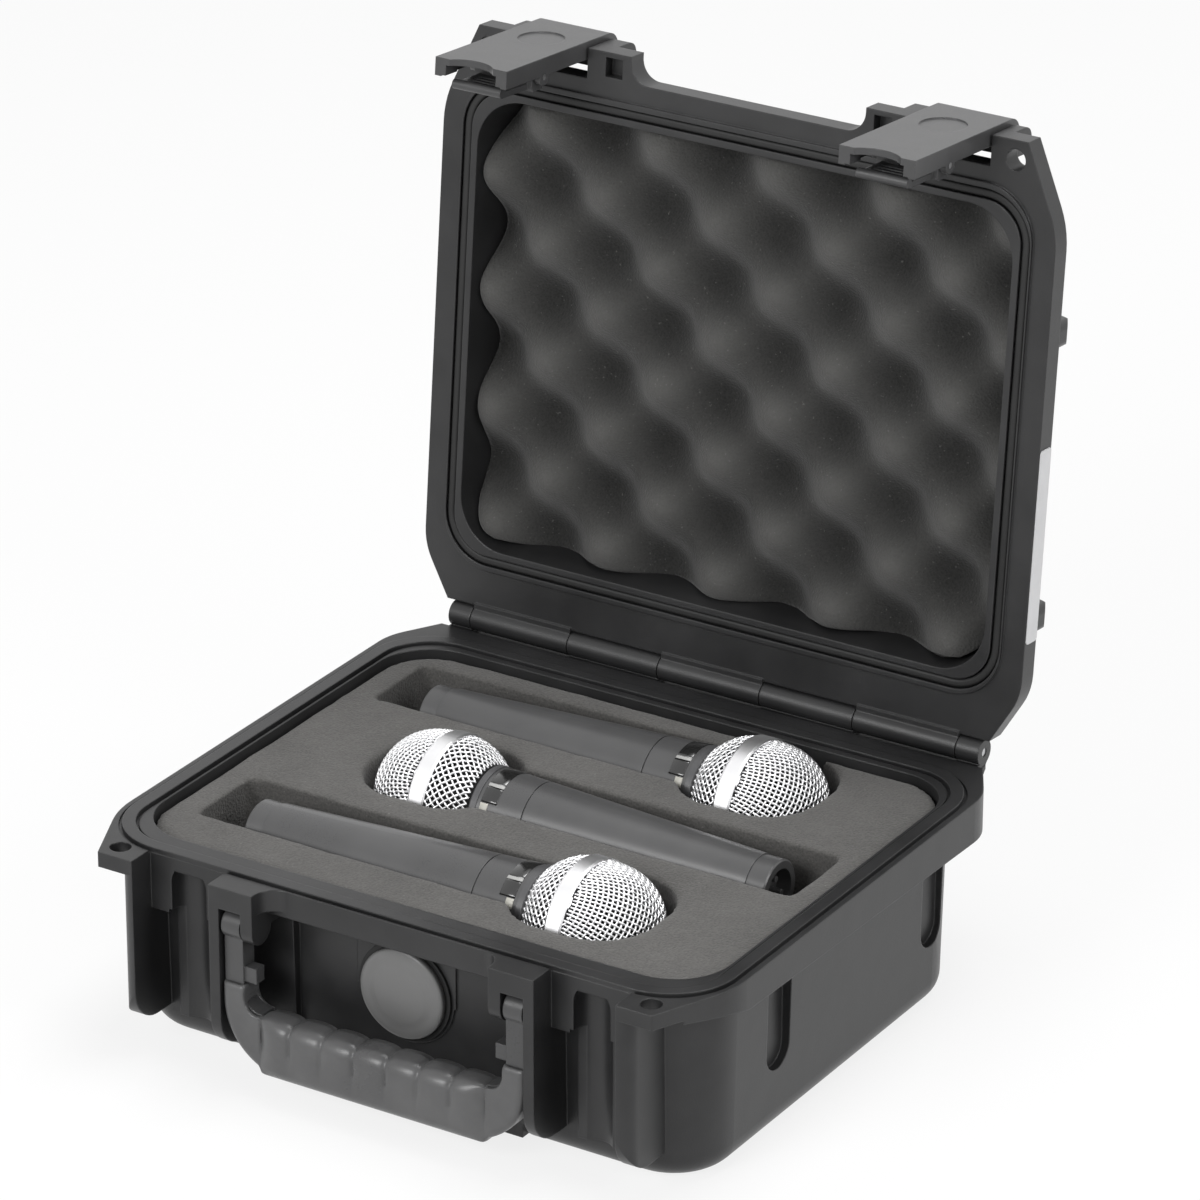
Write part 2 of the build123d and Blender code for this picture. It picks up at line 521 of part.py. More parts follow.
def lid_shell():
    """The moulded upper half, drawn closed."""
    front, back = -(LID_INNER_Y + WALL), LID_INNER_Y + WALL + LID_BACK_EXTRA
    half_x = LID_INNER_X + WALL
    top = LID_Z + LID_BAND
    rim = Pos(0, 0, LID_Z + STEP_DEPTH) * extrude(
        flange_outline(FRONT_Y, CATCH_Y, BLOCK_IN), LID_BAND - STEP_DEPTH)
    corners = rim.edges().filter_by(Axis.Z).filter_by_position(Axis.Y, FRONT_Y - 0.1, FRONT_Y + 0.1)
    rim = fillet(corners, PAD_FILLET)
    step = RIDGE_WIDTH / 2 + STEP_CLEAR
    rim += tray(RIDGE_X - step, -(SEAL_Y - step), SEAL_Y - step, RIDGE_RADIUS - step, LID_Z, STEP_DEPTH + 1, 0)
    body = tray(half_x, front, back, LID_INNER_RADIUS + WALL, top - 1, LID_TOP - top + 1, LID_DRAFT)
    body = fillet(body.faces().sort_by(Axis.Z)[-1].edges(), LID_ROUND)
    shell = rim + body
    shell += mirrored(ear_profile(BAY_IN - LATCH_EAR_IN, BAY_IN))
    shell += mirrored(ear_profile(BAY_OUT, BAY_OUT + LATCH_EAR_OUT))
    for y in NUB_PLACES:
        shell += mirrored(side_nub(y))
    shell += knuckles(1)

    cavity = tray(LID_INNER_X, -LID_INNER_Y, LID_INNER_Y, LID_INNER_RADIUS, LID_Z - 1,
                  LID_CEILING - LID_Z + 1, LID_DRAFT)
    shell -= fillet(cavity.faces().sort_by(Axis.Z)[-1].edges(), 4)
    shell -= loop(GASKET_X, GASKET_Y, GASKET_RADIUS, GASKET_GROOVE_WIDTH, LID_Z - 1, LID_Z + GASKET_GROOVE_DEPTH)
    shell -= mirrored(Pos(PADLOCK_X, PADLOCK_Y, top) * Cylinder(PADLOCK_RADIUS, 4 * LID_BAND))
    shell -= mirrored(latch_pin(0))
    shell -= mirrored(block(BLOCK_IN + 3.5, BLOCK_IN + 3.5 + LID_POCKET, PAD_Y + 2, PAD_Y + 2 + LID_POCKET,
                            LID_Z, LID_Z + STEP_DEPTH + LID_POCKET_DEPTH))
    shell -= hinge_bore()
    for number in range(5):
        x = (number - 2) * HALF_X / 4
        groove = block(x - 3, x + 3, front + 30, back - 30, LID_TOP - 1, LID_TOP + 1)
        shell -= fillet(groove.edges().filter_by(Axis.Z), 2.9)
    return shell


def lid_gasket():
    """The seal cord in the lid's groove."""
    low, high = LID_Z + GASKET_SINK, LID_Z + GASKET_GROOVE_DEPTH
    cord = loop(GASKET_X, GASKET_Y, GASKET_RADIUS, GASKET_WIDTH, low, high)
    return fillet(cord.faces().sort_by(Axis.Z)[0].edges(), 1.2)


def lid_foam():
    """The foam pad in the lid, above the microphones."""
    low = LID_CEILING - LID_FOAM_THICK
    inset = (low - LID_Z) * tan(radians(LID_DRAFT)) + LID_FOAM_GAP
    pad = tray(LID_INNER_X - inset, -(LID_INNER_Y - inset), LID_INNER_Y - inset, LID_INNER_RADIUS - inset,
               low, LID_FOAM_THICK, LID_DRAFT)
    return fillet(pad.faces().sort_by(Axis.Z)[-1].edges(), 5)


def lid_label():
    """A blank label on the lid's right side band."""
    middle = LID_Z + (LID_BAND + STEP_DEPTH) / 2
    label = block(HALF_X, HALF_X + LABEL_THICK, LABEL_MIDDLE_Y - LABEL_LENGTH / 2,
                  LABEL_MIDDLE_Y + LABEL_LENGTH / 2, middle - LABEL_HEIGHT / 2, middle + LABEL_HEIGHT / 2)
    return fillet(label.edges().filter_by(Axis.X), 1.5)


# ------------------------------------------------------------ latches
def latch_pin(short):
    """The pin of the right latch; short is taken off each end."""
    seat = LATCH_PIN_SEAT - short
    return rod(BAY_IN - seat, BAY_OUT + seat, LATCH_Y, LATCH_Z, LATCH_PIN_RADIUS)


def latch_cover():
    """The right latch's cover: outer skin, two skirts and a tube on the pin."""
    half = LATCH_WIDTH / 2
    x0, x1 = LATCH_X - half, LATCH_X + half
    end = LATCH_PIVOT_IN
    low = LATCH_Z - LATCH_LENGTH
    outside = block(x0, x1, COVER_Y, LATCH_Y, low, LATCH_Z) + rod(x0, x1, LATCH_Y, LATCH_Z, end)
    hollow = block(x0 + LATCH_SKIN, x1 - LATCH_SKIN, COVER_Y + LATCH_SKIN, LATCH_Y + end, low - 1, LATCH_Z)
    hollow += rod(x0 + LATCH_SKIN, x1 - LATCH_SKIN, LATCH_Y, LATCH_Z, end - LATCH_SKIN)
    cover = outside - hollow
    for side in (x0, x1 - LATCH_SKIN):
        cover += rod(side, side + LATCH_SKIN, TRIGGER_Y, TRIGGER_Z, TRIGGER_LOBE)
    cover += rod(x0, x1, LATCH_Y, LATCH_Z, LATCH_PIN_RADIUS + 1.8)
    rib = block(x0 + 1, x1 - 1, LATCH_Y - 1, LATCH_Y + 1, LATCH_Z + 2.5, LATCH_Z + end - 1)
    cover += rib
    for side in (x0, x1 - LEG_WIDTH):
        cover += block(side, side + LEG_WIDTH, COVER_Y, LATCH_Y - 0.5, low, low + LEG_LENGTH)
    arch = Pos(LATCH_X, COVER_Y, low - 8) * Rot(90, 0, 0) * Cylinder(12.5, 30)
    cover -= arch
    relief = Pos(LATCH_X, COVER_Y + THUMB_DEPTH, LATCH_Z - 23) * Rot(90, 0, 0) * extrude(
        Ellipse(THUMB_HALF_WIDTH, THUMB_HALF_HEIGHT), 3)
    cover -= relief
    cover -= rod(x0 - 1, x1 + 1, LATCH_Y, LATCH_Z, LATCH_PIN_RADIUS + RUNNING)
    cover -= rod(x0 - 1, x1 + 1, TRIGGER_Y, TRIGGER_Z, TRIGGER_PIN_RADIUS)
    return cover


def trigger_pin():
    """The pin of the right trigger, pressed into the cover's skirts."""
    half = LATCH_WIDTH / 2 - 0.2
    return rod(LATCH_X - half, LATCH_X + half, TRIGGER_Y, TRIGGER_Z, TRIGGER_PIN_RADIUS)


def trigger_spring():
    """A coil round the trigger pin, with one leg on the cover and one towards the trigger."""
    pitch = SPRING_WIRE * 1.6
    length = SPRING_TURNS * pitch
    path = Helix(pitch, length, SPRING_RADIUS)
    section = (path ^ 0) * Circle(SPRING_WIRE / 2)
    coil = sweep(section, path=path, is_frenet=True)
    coil = Pos(LATCH_X - length / 2, TRIGGER_Y, TRIGGER_Z) * Rot(0, 90, 0) * coil
    leg_z = TRIGGER_Z - SPRING_RADIUS
    cover_in = COVER_Y + LATCH_SKIN
    long_leg = TRIGGER_Y - cover_in
    leg_turn = Rot(90, 0, 0)
    bite = 0.4
    wire = SPRING_WIRE / 2
    long = Pos(LATCH_X - length / 2 - 0.1, TRIGGER_Y - (long_leg - bite) / 2, leg_z + 0.05)
    long = long * leg_turn * Cylinder(wire, long_leg + bite)
    short = Pos(LATCH_X + length / 2, TRIGGER_Y + 0.6, leg_z) * leg_turn * Cylinder(wire, 1.2 + 2 * bite)
    return coil + long + short


def trigger_lever():
    """The right trigger: split hub, finger plate and two claws."""
    half = LATCH_WIDTH / 2 - LATCH_SKIN - 0.4
    gap = SPRING_TURNS * SPRING_WIRE * 0.8 + 1.0
    inner = COVER_Y + TRIGGER_REACH
    outer = inner - TRIGGER_PLATE
    plate_half = TRIGGER_WIDTH / 2
    hub_low = TRIGGER_Z - TRIGGER_HUB
    plate = block(LATCH_X - plate_half, LATCH_X + plate_half, outer, inner,
                  TRIGGER_Z - 22.5 + TRIGGER_BEAD, hub_low)
    bead = TRIGGER_BEAD
    plate += rod(LATCH_X - plate_half, LATCH_X + plate_half, inner - bead, TRIGGER_Z - 22.5 + bead, bead)
    lever = plate
    for side in (-1, 1):
        a, b = sorted((LATCH_X + side * gap, LATCH_X + side * half))
        hub = rod(a, b, TRIGGER_Y, TRIGGER_Z, TRIGGER_HUB)
        hub += block(a, b, TRIGGER_Y, inner, hub_low - 1, TRIGGER_Z + 2.0)
        c, d = sorted((LATCH_X + side * (CHANNEL_RADIUS + CHANNEL_RIB + 0.2), LATCH_X + side * half))
        claw = block(c, d, inner - 0.8, inner + 0.8, hub_low, TRIGGER_Z + 3.5)
        lever += hub + claw
    lever -= rod(LATCH_X - half - 1, LATCH_X + half + 1, TRIGGER_Y, TRIGGER_Z, TRIGGER_PIN_RADIUS + RUNNING)
    for number in range(4):
        z = TRIGGER_Z - 17.0 + number * 3.0
        lever -= rod(LATCH_X - plate_half + 2, LATCH_X + plate_half - 2, outer, z, 0.5)
    return lever


# ------------------------------------------------------------ handle
def handle_pin():
    """The right pin of the handle, pressed into the base's ears."""
    return rod(BLOCK_IN + 1, BAY_IN - 1, PIVOT_Y, PIVOT_Z, HANDLE_PIN_RADIUS)


def handle_frame():
    """The swinging frame: two arms, two corners and a narrower bar for the grip."""
    arm_out = (SLOT_IN + SLOT_OUT) / 2 + HANDLE_ARM / 2
    arm_in = arm_out - HANDLE_ARM
    y0, y1 = PIVOT_Y - HANDLE_THICK / 2, PIVOT_Y + HANDLE_THICK / 2
    low = PIVOT_Z - HANDLE_DROP
    outside = block(-arm_out, arm_out, y0, y1, low, PIVOT_Z)
    outside = fillet(outside.edges().filter_by(Axis.Y).sort_by(Axis.Z)[:2], HANDLE_CORNER)
    inside = block(-arm_in, arm_in, y0 - 1, y1 + 1, low + HANDLE_BAR, PIVOT_Z + 1)
    inside = fillet(inside.edges().filter_by(Axis.Y).sort_by(Axis.Z)[:2], 7)
    frame = outside - inside
    grip = GRIP_LENGTH / 2
    spare = (HANDLE_BAR - HANDLE_TANG) / 2
    frame -= block(-grip, grip, y0 - 1, y1 + 1, low - 1, low + spare)
    frame -= block(-grip, grip, y0 - 1, y1 + 1, low + HANDLE_BAR - spare, low + HANDLE_BAR + 1)
    for side in (-1, 1):
        a, b = sorted((side * arm_in, side * arm_out))
        frame += rod(a, b, PIVOT_Y, PIVOT_Z, HANDLE_PIVOT_IN - 0.4)
        c, d = sorted((side * (arm_in - HANDLE_NUB), side * (arm_in + 1)))
        frame += block(c, d, y0 + 1, y1 - 1, PIVOT_Z - 21.5, PIVOT_Z - 15.5)
    return frame - mirrored(rod(arm_in - 1, arm_out + 1, PIVOT_Y, PIVOT_Z, HANDLE_PIN_RADIUS + RUNNING))


def handle_grip():
    """The moulded sleeve: soft corners, a smooth lower half and a row of swells on top."""
    y = PIVOT_Y - GRIP_FORWARD
    low = PIVOT_Z - HANDLE_DROP - GRIP_PROUD
    high = low + GRIP_HEIGHT
    arm_out = (SLOT_IN + SLOT_OUT) / 2 + HANDLE_ARM / 2 + GRIP_PROUD
    arm_in = arm_out - HANDLE_ARM - 3 * GRIP_PROUD
    y0, y1 = PIVOT_Y - CORNER_THICK / 2, PIVOT_Y + CORNER_THICK / 2
    outside = block(-arm_out, arm_out, y0, y1, low, SLEEVE_TOP)
    outside = fillet(outside.edges().filter_by(Axis.Y).sort_by(Axis.Z)[:2], HANDLE_CORNER)
    outside = fillet(outside.faces().sort_by(Axis.Y)[0].edges(), CORNER_SOFT)
    inside = block(-arm_in, arm_in, y0 - 1, y1 + 1, high - 1, SLEEVE_TOP + 1)
    inside = fillet(inside.edges().filter_by(Axis.Y).sort_by(Axis.Z)[:2], 6)
    grip = outside - inside

    half = GRIP_LENGTH / 2
    bar = block(-half, half, y - GRIP_THICK / 2, y + GRIP_THICK / 2, low, high)
    bar = fillet(bar.edges().filter_by(Axis.X), GRIP_ROUND)
    bar &= block(-half, half, y - GRIP_THICK, y + GRIP_THICK, low, low + GRIP_HEIGHT / 2)
    grip += fillet(bar.edges().filter_by(Axis.Z), 1.5)
    pitch = GRIP_LENGTH / GRIP_SWELLS
    for number in range(GRIP_SWELLS):
        x = (number - (GRIP_SWELLS - 1) / 2) * pitch
        swell = block(x - pitch / 2 - 0.5, x + pitch / 2 + 0.5, y - GRIP_THICK / 2, y + GRIP_THICK / 2, low, high)
        swell = fillet(swell.edges().filter_by(Axis.X), GRIP_ROUND)
        ends = swell.faces().filter_by(Axis.X).edges()
        swell = fillet(ends, SWELL_ROUND)
        grip += swell & block(-half - 1, half + 1, y - GRIP_THICK, y + GRIP_THICK, low + GRIP_HEIGHT * 0.4, high + 1)
    return grip - handle_frame()


# ------------------------------------------------------------ valve
def disc(radius, y0, y1):
    """A disc about the valve's axis, between two y values."""
    return Pos(0, (y0 + y1) / 2, VALVE_HEIGHT) * Rot(90, 0, 0) * Cylinder(radius, abs(y1 - y0))


def valve_parts():
    """Cap, seal ring, threaded body, nut and membrane of the pressure valve."""
    seal_y = VALVE_FACE - VALVE_SEAL_THICK
    cap_y = seal_y - VALVE_CAP_THICK
    inside = RECESS_Y + WALL
    end = inside + VALVE_NUT_THICK + 0.4
    bore = VALVE_BUSH_RADIUS + RUNNING
    cap = disc(VALVE_CAP_RADIUS, cap_y, seal_y)
    cap = chamfer(cap.faces().sort_by(Axis.Y)[0].edges(), 1.2, 2.4)
    for number in range(4):
        turn = Pos(0, 0, VALVE_HEIGHT) * Rot(0, 45 + 90 * number, 0) * Pos(VALVE_CAP_RADIUS, 0, 0)
        cap -= turn * Pos(0, seal_y, 0) * Rot(90, 0, 0) * Cylinder(1.6, 2.4)
    seal = disc(VALVE_SEAL_RADIUS, seal_y, VALVE_FACE) - disc(bore, seal_y - 1, VALVE_FACE + 1)
    body = disc(VALVE_BUSH_RADIUS, seal_y, end) - disc(VALVE_BORE, seal_y + 1.5, end + 1)
    nut = Pos(0, inside + VALVE_NUT_THICK, VALVE_HEIGHT) * Rot(90, 0, 0) * extrude(
        RegularPolygon(VALVE_NUT / 2, 6, major_radius=False), VALVE_NUT_THICK)
    nut -= disc(bore, inside - 1, inside + VALVE_NUT_THICK + 1)
    membrane = disc(VALVE_BORE - 0.05, inside, inside + 0.6)
    return {"valve_cap": cap, "valve_seal": seal, "valve_body": body, "valve_nut": nut, "valve_membrane": membrane}


# ------------------------------------------------------------ foam
def mic_places():
    """Row name, y and direction of each microphone."""
    depth = FOAM_BACK - FOAM_FRONT
    rows = zip(["front", "middle", "back"], MIC_PLACES, [1, -1, 1])
    return [(name, FOAM_FRONT + place * depth, way) for name, place, way in rows]


def pocket(y, way):
    """The straight-walled cut for one microphone."""
    tail = -FOAM_X + TAIL_MARGIN - FINGER_GAP
    foot = FOAM_X - GRILLE_MARGIN - GRILLE_LENGTH
    end = FOAM_X - GRILLE_MARGIN + GRILLE_POCKET_CLEAR
    narrow = COLLAR_RADIUS + POCKET_CLEAR
    wide = GRILLE_RADIUS + GRILLE_POCKET_CLEAR
    top = FOAM_TOP + 1
    long = block(tail, foot + 1, -narrow, narrow, MIC_Z - narrow, top)
    long = fillet(long.edges().filter_by(Axis.Z).sort_by(Axis.X)[:2], TAIL_POCKET_RADIUS)
    low = MIC_Z - GRILLE_RADIUS - POCKET_CLEAR
    head = block(foot - GRILLE_POCKET_BACK, end, -wide, wide, low, top)
    head = fillet(head.edges().filter_by(Axis.Z), GRILLE_POCKET_RADIUS)
    return Pos(0, y, 0) * Rot(0, 0, 0 if way > 0 else 180) * (long + head)


def base_foam():
    """The upper foam block with its three pockets."""
    low = BASE_HEIGHT - (BASE_HEIGHT - WALL - FLOOR_PAD)
    inset = FOAM_TOP_DROP * tan(radians(DRAFT))
    radius = BODY_RADIUS - WALL
    foam = tray(FOAM_X - inset, FOAM_FRONT + inset, FOAM_BACK - inset, radius, FOAM_TOP, -(FOAM_TOP - low), DRAFT)
    step = RIM_Z - FRONT_BAND + 1
    foam -= block(-BLOCK_IN - 1, BLOCK_IN + 1, FOAM_FRONT - 1, RECESS_Y + WALL + FOAM_GAP, low - 1, step)
    nut_half = VALVE_NUT / 2 + 3
    nut_back = RECESS_Y + WALL + VALVE_NUT_THICK + 1.5
    foam -= block(-nut_half, nut_half, FOAM_FRONT - 1, nut_back, VALVE_HEIGHT - nut_half, step)
    foam -= groove_backs(FOAM_GAP)
    for name, y, way in mic_places():
        foam -= pocket(y, way)
    return foam


def foam_floor():
    """The plain foam sheet under the block."""
    inset = (BASE_HEIGHT - WALL) * tan(radians(DRAFT)) + BOTTOM_ROUND - WALL
    sheet = tray(FOAM_X - inset, FOAM_FRONT + inset, FOAM_BACK - inset, BODY_RADIUS - WALL - inset / 2, WALL, FLOOR_PAD, 0)
    return sheet


# ------------------------------------------------------------ microphones
def turned(points):
    """A body turned about X from (x, radius) points."""
    return revolve(make_face(Polyline(*[(x, 0, r) for x, r in points], close=True)), Axis.X, 360)


def curved(start, middle, end, skin, close_end):
    """A thin turned shell between two radii, bulging through the middle point."""
    outer = ThreePointArc(*[(x, 0, r) for x, r in (start, middle, end)])
    inner_points = [(start[0], start[1] - skin), (middle[0] - skin * 0.4, middle[1] - skin),
                    (end[0] - (skin if close_end else 0), end[1] - skin * 0.6)]
    inner = ThreePointArc(*[(x, 0, r) for x, r in inner_points])
    lines = [outer, inner, Line(outer @ 0, inner @ 0)]
    if close_end:
        a, b = (end[0], 0, 0), (end[0] - skin, 0, 0)
        lines += [Line(outer @ 1, a), Line(a, b), Line(b, inner @ 1)]
    else:
        lines += [Line(outer @ 1, inner @ 1)]
    return revolve(make_face(lines), Axis.X, 360)


def mic_pieces():
    """The pieces of one microphone, tail at the origin and grille towards +X."""
    collar = GRILLE_FROM - COLLAR_LENGTH
    seam = collar - NECK_LENGTH
    slope = (NECK_RADIUS - TAIL_RADIUS) / collar
    tail_r = TAIL_RADIUS + slope * TAIL_RING
    seam_r = TAIL_RADIUS + slope * seam
    body = turned([
        (TAIL_RING, tail_r - MIC_SKIN), (TAIL_RING, tail_r), (seam - SEAM, seam_r),
        (seam - SEAM, seam_r - SEAM), (seam, seam_r - SEAM), (seam, seam_r),
        (collar, NECK_RADIUS), (collar, NECK_RADIUS - MIC_SKIN),
    ])
    tail = turned([(0, 0), (0, TAIL_RADIUS - 0.6), (0.6, TAIL_RADIUS), (TAIL_RING, tail_r - 0.4), (TAIL_RING, 0)])
    tail -= turned([(-1, 0), (-1, CONNECTOR_RADIUS), (TAIL_RING - 2, CONNECTOR_RADIUS), (TAIL_RING - 2, 0)])
    for number in range(3):
        angle = radians(90 + 120 * number)
        y, z = 4.6 * cos(angle), 4.6 * sin(angle)
        tail += rod(1.2, TAIL_RING - 1, y, z, CONNECTOR_PIN)
    ring = turned([
        (collar, 0), (collar, COLLAR_RADIUS), (GRILLE_FROM - 0.8, COLLAR_RADIUS),
        (GRILLE_FROM, COLLAR_RADIUS - 0.8), (GRILLE_FROM, 0),
    ])
    band_from = GRILLE_FROM + GRILLE_LOWER
    band_to = band_from + GRILLE_BAND
    middle = (GRILLE_FOOT + GRILLE_MESH) / 2 + GRILLE_BULGE
    lower = curved((GRILLE_FROM, GRILLE_FOOT), (GRILLE_FROM + GRILLE_LOWER / 2, middle), (band_from, GRILLE_MESH),
                   GRILLE_SKIN, False)
    lower += turned([(GRILLE_FROM, CAPSULE_RADIUS + 1), (GRILLE_FROM, GRILLE_FOOT), (GRILLE_FROM + 1, GRILLE_FOOT),
                     (GRILLE_FROM + 1, CAPSULE_RADIUS + 1)])
    band = turned([
        (band_from, GRILLE_MESH - 1.5), (band_from, GRILLE_MESH), (band_from + 0.8, GRILLE_RADIUS),
        (band_to - 0.8, GRILLE_RADIUS), (band_to, GRILLE_MESH), (band_to, GRILLE_MESH - 1.5),
    ])
    dome = curved((band_to, GRILLE_MESH), (band_to + 16, GRILLE_MESH - 4.8), (MIC_LENGTH, GRILLE_END),
                  GRILLE_SKIN, True)
    capsule = turned([
        (GRILLE_FROM, 0), (GRILLE_FROM, CAPSULE_RADIUS), (GRILLE_FROM + CAPSULE_LENGTH - 2, CAPSULE_RADIUS),
        (GRILLE_FROM + CAPSULE_LENGTH, CAPSULE_RADIUS - 2), (GRILLE_FROM + CAPSULE_LENGTH, 0),
    ])
    return {
        "mic_body": body, "mic_tail": tail, "mic_collar": ring, "grille_lower": lower,
        "grille_band": band, "grille_dome": dome, "mic_capsule": capsule,
    }


# ------------------------------------------------------------ assembly
parts = {
    "base_shell": base_shell(),
    "base_foam": base_foam(),
    "foam_floor": foam_floor(),
    "hinge_pin": rod(HINGE_SPLITS[0] + 0.5, HINGE_SPLITS[-1] - 0.5, HINGE_Y, HINGE_Z, HINGE_PIN_RADIUS),
    "handle_frame": handle_frame(),
    "handle_grip": handle_grip(),
    "lid_shell": opened(lid_shell()),
    "lid_gasket": opened(lid_gasket()),
    "lid_foam": opened(lid_foam()),
    "lid_label": opened(lid_label()),
}
parts.update(valve_parts())
for side_name, side in (("left", -1), ("right", 1)):
    parts["handle_pin_" + side_name] = side_copy(handle_pin(), side)
    parts["latch_pin_" + side_name] = opened(side_copy(latch_pin(0.2), side))
    parts["latch_cover_" + side_name] = opened(side_copy(latch_cover(), side))
    parts["trigger_pin_" + side_name] = opened(side_copy(trigger_pin(), side))
    parts["trigger_spring_" + side_name] = opened(side_copy(trigger_spring(), side))
    parts["trigger_lever_" + side_name] = opened(side_copy(trigger_lever(), side))
for row, y, way in mic_places():
    tail_x = way * (-FOAM_X + TAIL_MARGIN)
    place = Pos(tail_x, y, MIC_Z) * Rot(0, 0, 0 if way > 0 else 180)
    for piece_name, piece in mic_pieces().items():
        parts[piece_name + "_" + row] = place * piece

os.makedirs("parts", exist_ok=True)
for name, shape in parts.items():
    export_step(shape, "parts/" + name + ".step")
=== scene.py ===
"""A hinged hard case that holds three handheld microphones, dressed for rendering.

Every length of the case is in millimetres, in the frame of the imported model: +X
to the right, +Y to the hinge, +Z up, from the face the case stands on. Angles
are in degrees. The studio's lengths are in metres.
"""
import logging
import math
from dataclasses import dataclass, field
from enum import Enum
from typing import Any, Iterable, Sequence

import bmesh
import bpy
from mathutils import Euler, Matrix, Vector, noise


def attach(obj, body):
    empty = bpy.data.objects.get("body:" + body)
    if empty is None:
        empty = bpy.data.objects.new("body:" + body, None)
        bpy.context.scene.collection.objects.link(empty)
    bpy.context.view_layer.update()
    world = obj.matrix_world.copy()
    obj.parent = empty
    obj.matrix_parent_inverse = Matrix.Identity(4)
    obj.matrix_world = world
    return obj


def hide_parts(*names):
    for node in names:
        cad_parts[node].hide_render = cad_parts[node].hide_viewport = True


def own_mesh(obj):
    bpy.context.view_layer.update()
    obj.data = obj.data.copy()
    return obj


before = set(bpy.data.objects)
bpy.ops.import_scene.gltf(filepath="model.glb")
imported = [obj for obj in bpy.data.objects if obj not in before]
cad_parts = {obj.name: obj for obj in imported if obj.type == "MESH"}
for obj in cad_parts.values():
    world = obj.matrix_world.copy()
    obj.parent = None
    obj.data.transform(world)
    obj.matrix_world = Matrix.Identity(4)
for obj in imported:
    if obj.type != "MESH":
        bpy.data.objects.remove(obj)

log = logging.getLogger("microphone_case")
MM = 0.001
SAME_POINT = 1e-6           # metres between points that are one
CAD_SAME_POINT = 1e-5       # the same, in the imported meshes
NOISE_SEED = 7              # of the foams' unevenness; unset, it follows the clock
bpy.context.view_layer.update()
Colour = tuple[float, float, float]


# ---------------------------------------------------------------- node helpers
class Value:
    """A node socket that carries a number, with arithmetic on it."""

    def __init__(self, tree: "Tree", socket: bpy.types.NodeSocket) -> None:
        """Keep the tree that the socket belongs to."""
        self.tree, self.socket = tree, socket

    def _math(self, operation: str, *terms: Any) -> "Value":
        """Add one Math node.

        Args:
            operation: the node's operation.
            terms: its inputs, as values, sockets or numbers.

        Returns:
            The result as a Value.
        """
        made = self.tree.add("ShaderNodeMath", {"operation": operation}, dict(enumerate(terms)))
        return Value(self.tree, made.outputs[0])

    def __add__(self, other: Any) -> "Value":
        """Sum."""
        return self._math("ADD", self, other)

    def __radd__(self, other: Any) -> "Value":
        """Sum, with the number on the left."""
        return self._math("ADD", other, self)

    def __sub__(self, other: Any) -> "Value":
        """Difference."""
        return self._math("SUBTRACT", self, other)

    def __rsub__(self, other: Any) -> "Value":
        """Difference, with the number on the left."""
        return self._math("SUBTRACT", other, self)

    def __mul__(self, other: Any) -> "Value":
        """Product."""
        return self._math("MULTIPLY", self, other)

    def __rmul__(self, other: Any) -> "Value":
        """Product, with the number on the left."""
        return self._math("MULTIPLY", other, self)

    def __truediv__(self, other: Any) -> "Value":
        """Quotient."""
        return self._math("DIVIDE", self, other)

    def __pow__(self, other: Any) -> "Value":
        """Power."""
        return self._math("POWER", self, other)

    def cos(self) -> "Value":
        """Cosine."""
        return self._math("COSINE", self)

    def sin(self) -> "Value":
        """Sine."""
        return self._math("SINE", self)

    def root(self) -> "Value":
        """Square root."""
        return self._math("SQRT", self)

    def size(self) -> "Value":
        """Absolute value."""
        return self._math("ABSOLUTE", self)

    def at_least(self, other: Any) -> "Value":
        """The larger of the two."""
        return self._math("MAXIMUM", self, other)

    def at_most(self, other: Any) -> "Value":
        """The smaller of the two."""
        return self._math("MINIMUM", self, other)

    def span(self, low: float, high: float) -> "Value":
        """Stretch low..high to 0..1, held at both ends."""
        made = self.tree.add("ShaderNodeMapRange", {"clamp": True},
                             {"Value": self, "From Min": low, "From Max": high})
        return Value(self.tree, made.outputs[0])


class Tree:
    """A node tree and the one way that nodes are added to it."""

    def __init__(self, nodes: bpy.types.NodeTree) -> None:
        """Take the Blender node tree to build in."""
        self.nodes = nodes

    def add(self, kind: str, settings: dict[str, Any] | None = None,
            inputs: dict[str | int, Any] | None = None) -> bpy.types.Node:
        """Add a node.

        Args:
            kind: the node's type name.
            settings: its properties, set first; "stops" fills a ramp.
            inputs: a value, a Value or an output socket for each named input.

        Returns:
            The node.
        """
        node = self.nodes.nodes.new(kind)
        for name, setting in (settings or {}).items():
            if name == "stops":
                ramp = node.color_ramp.elements
                while len(ramp) < len(setting):
                    ramp.new(0.5)
                for stop, (place, colour) in zip(ramp, setting):
                    stop.position, stop.color = place, (*colour, 1.0)
            else:
                setattr(node, name, setting)
        for name, given in (inputs or {}).items():
            target = node.inputs[name]
            if isinstance(given, Value):
                given = given.socket
            if isinstance(given, bpy.types.NodeSocket):
                self.nodes.links.new(given, target)
            else:
                target.default_value = given
        return node

    def value(self, node: bpy.types.Node, output: str | int = 0) -> Value:
        """One output of a node as a Value."""
        return Value(self, node.outputs[output])

    def parts(self, vector: Any) -> tuple[Value, Value, Value]:
        """The x, y and z of a vector socket."""
        node = self.add("ShaderNodeSeparateXYZ", inputs={0: vector})
        return self.value(node, 0), self.value(node, 1), self.value(node, 2)

    def joined(self, x: Any, y: Any, z: Any) -> bpy.types.NodeSocket:
        """A vector socket from three numbers."""
        return self.add("ShaderNodeCombineXYZ", inputs={0: x, 1: y, 2: z}).outputs[0]


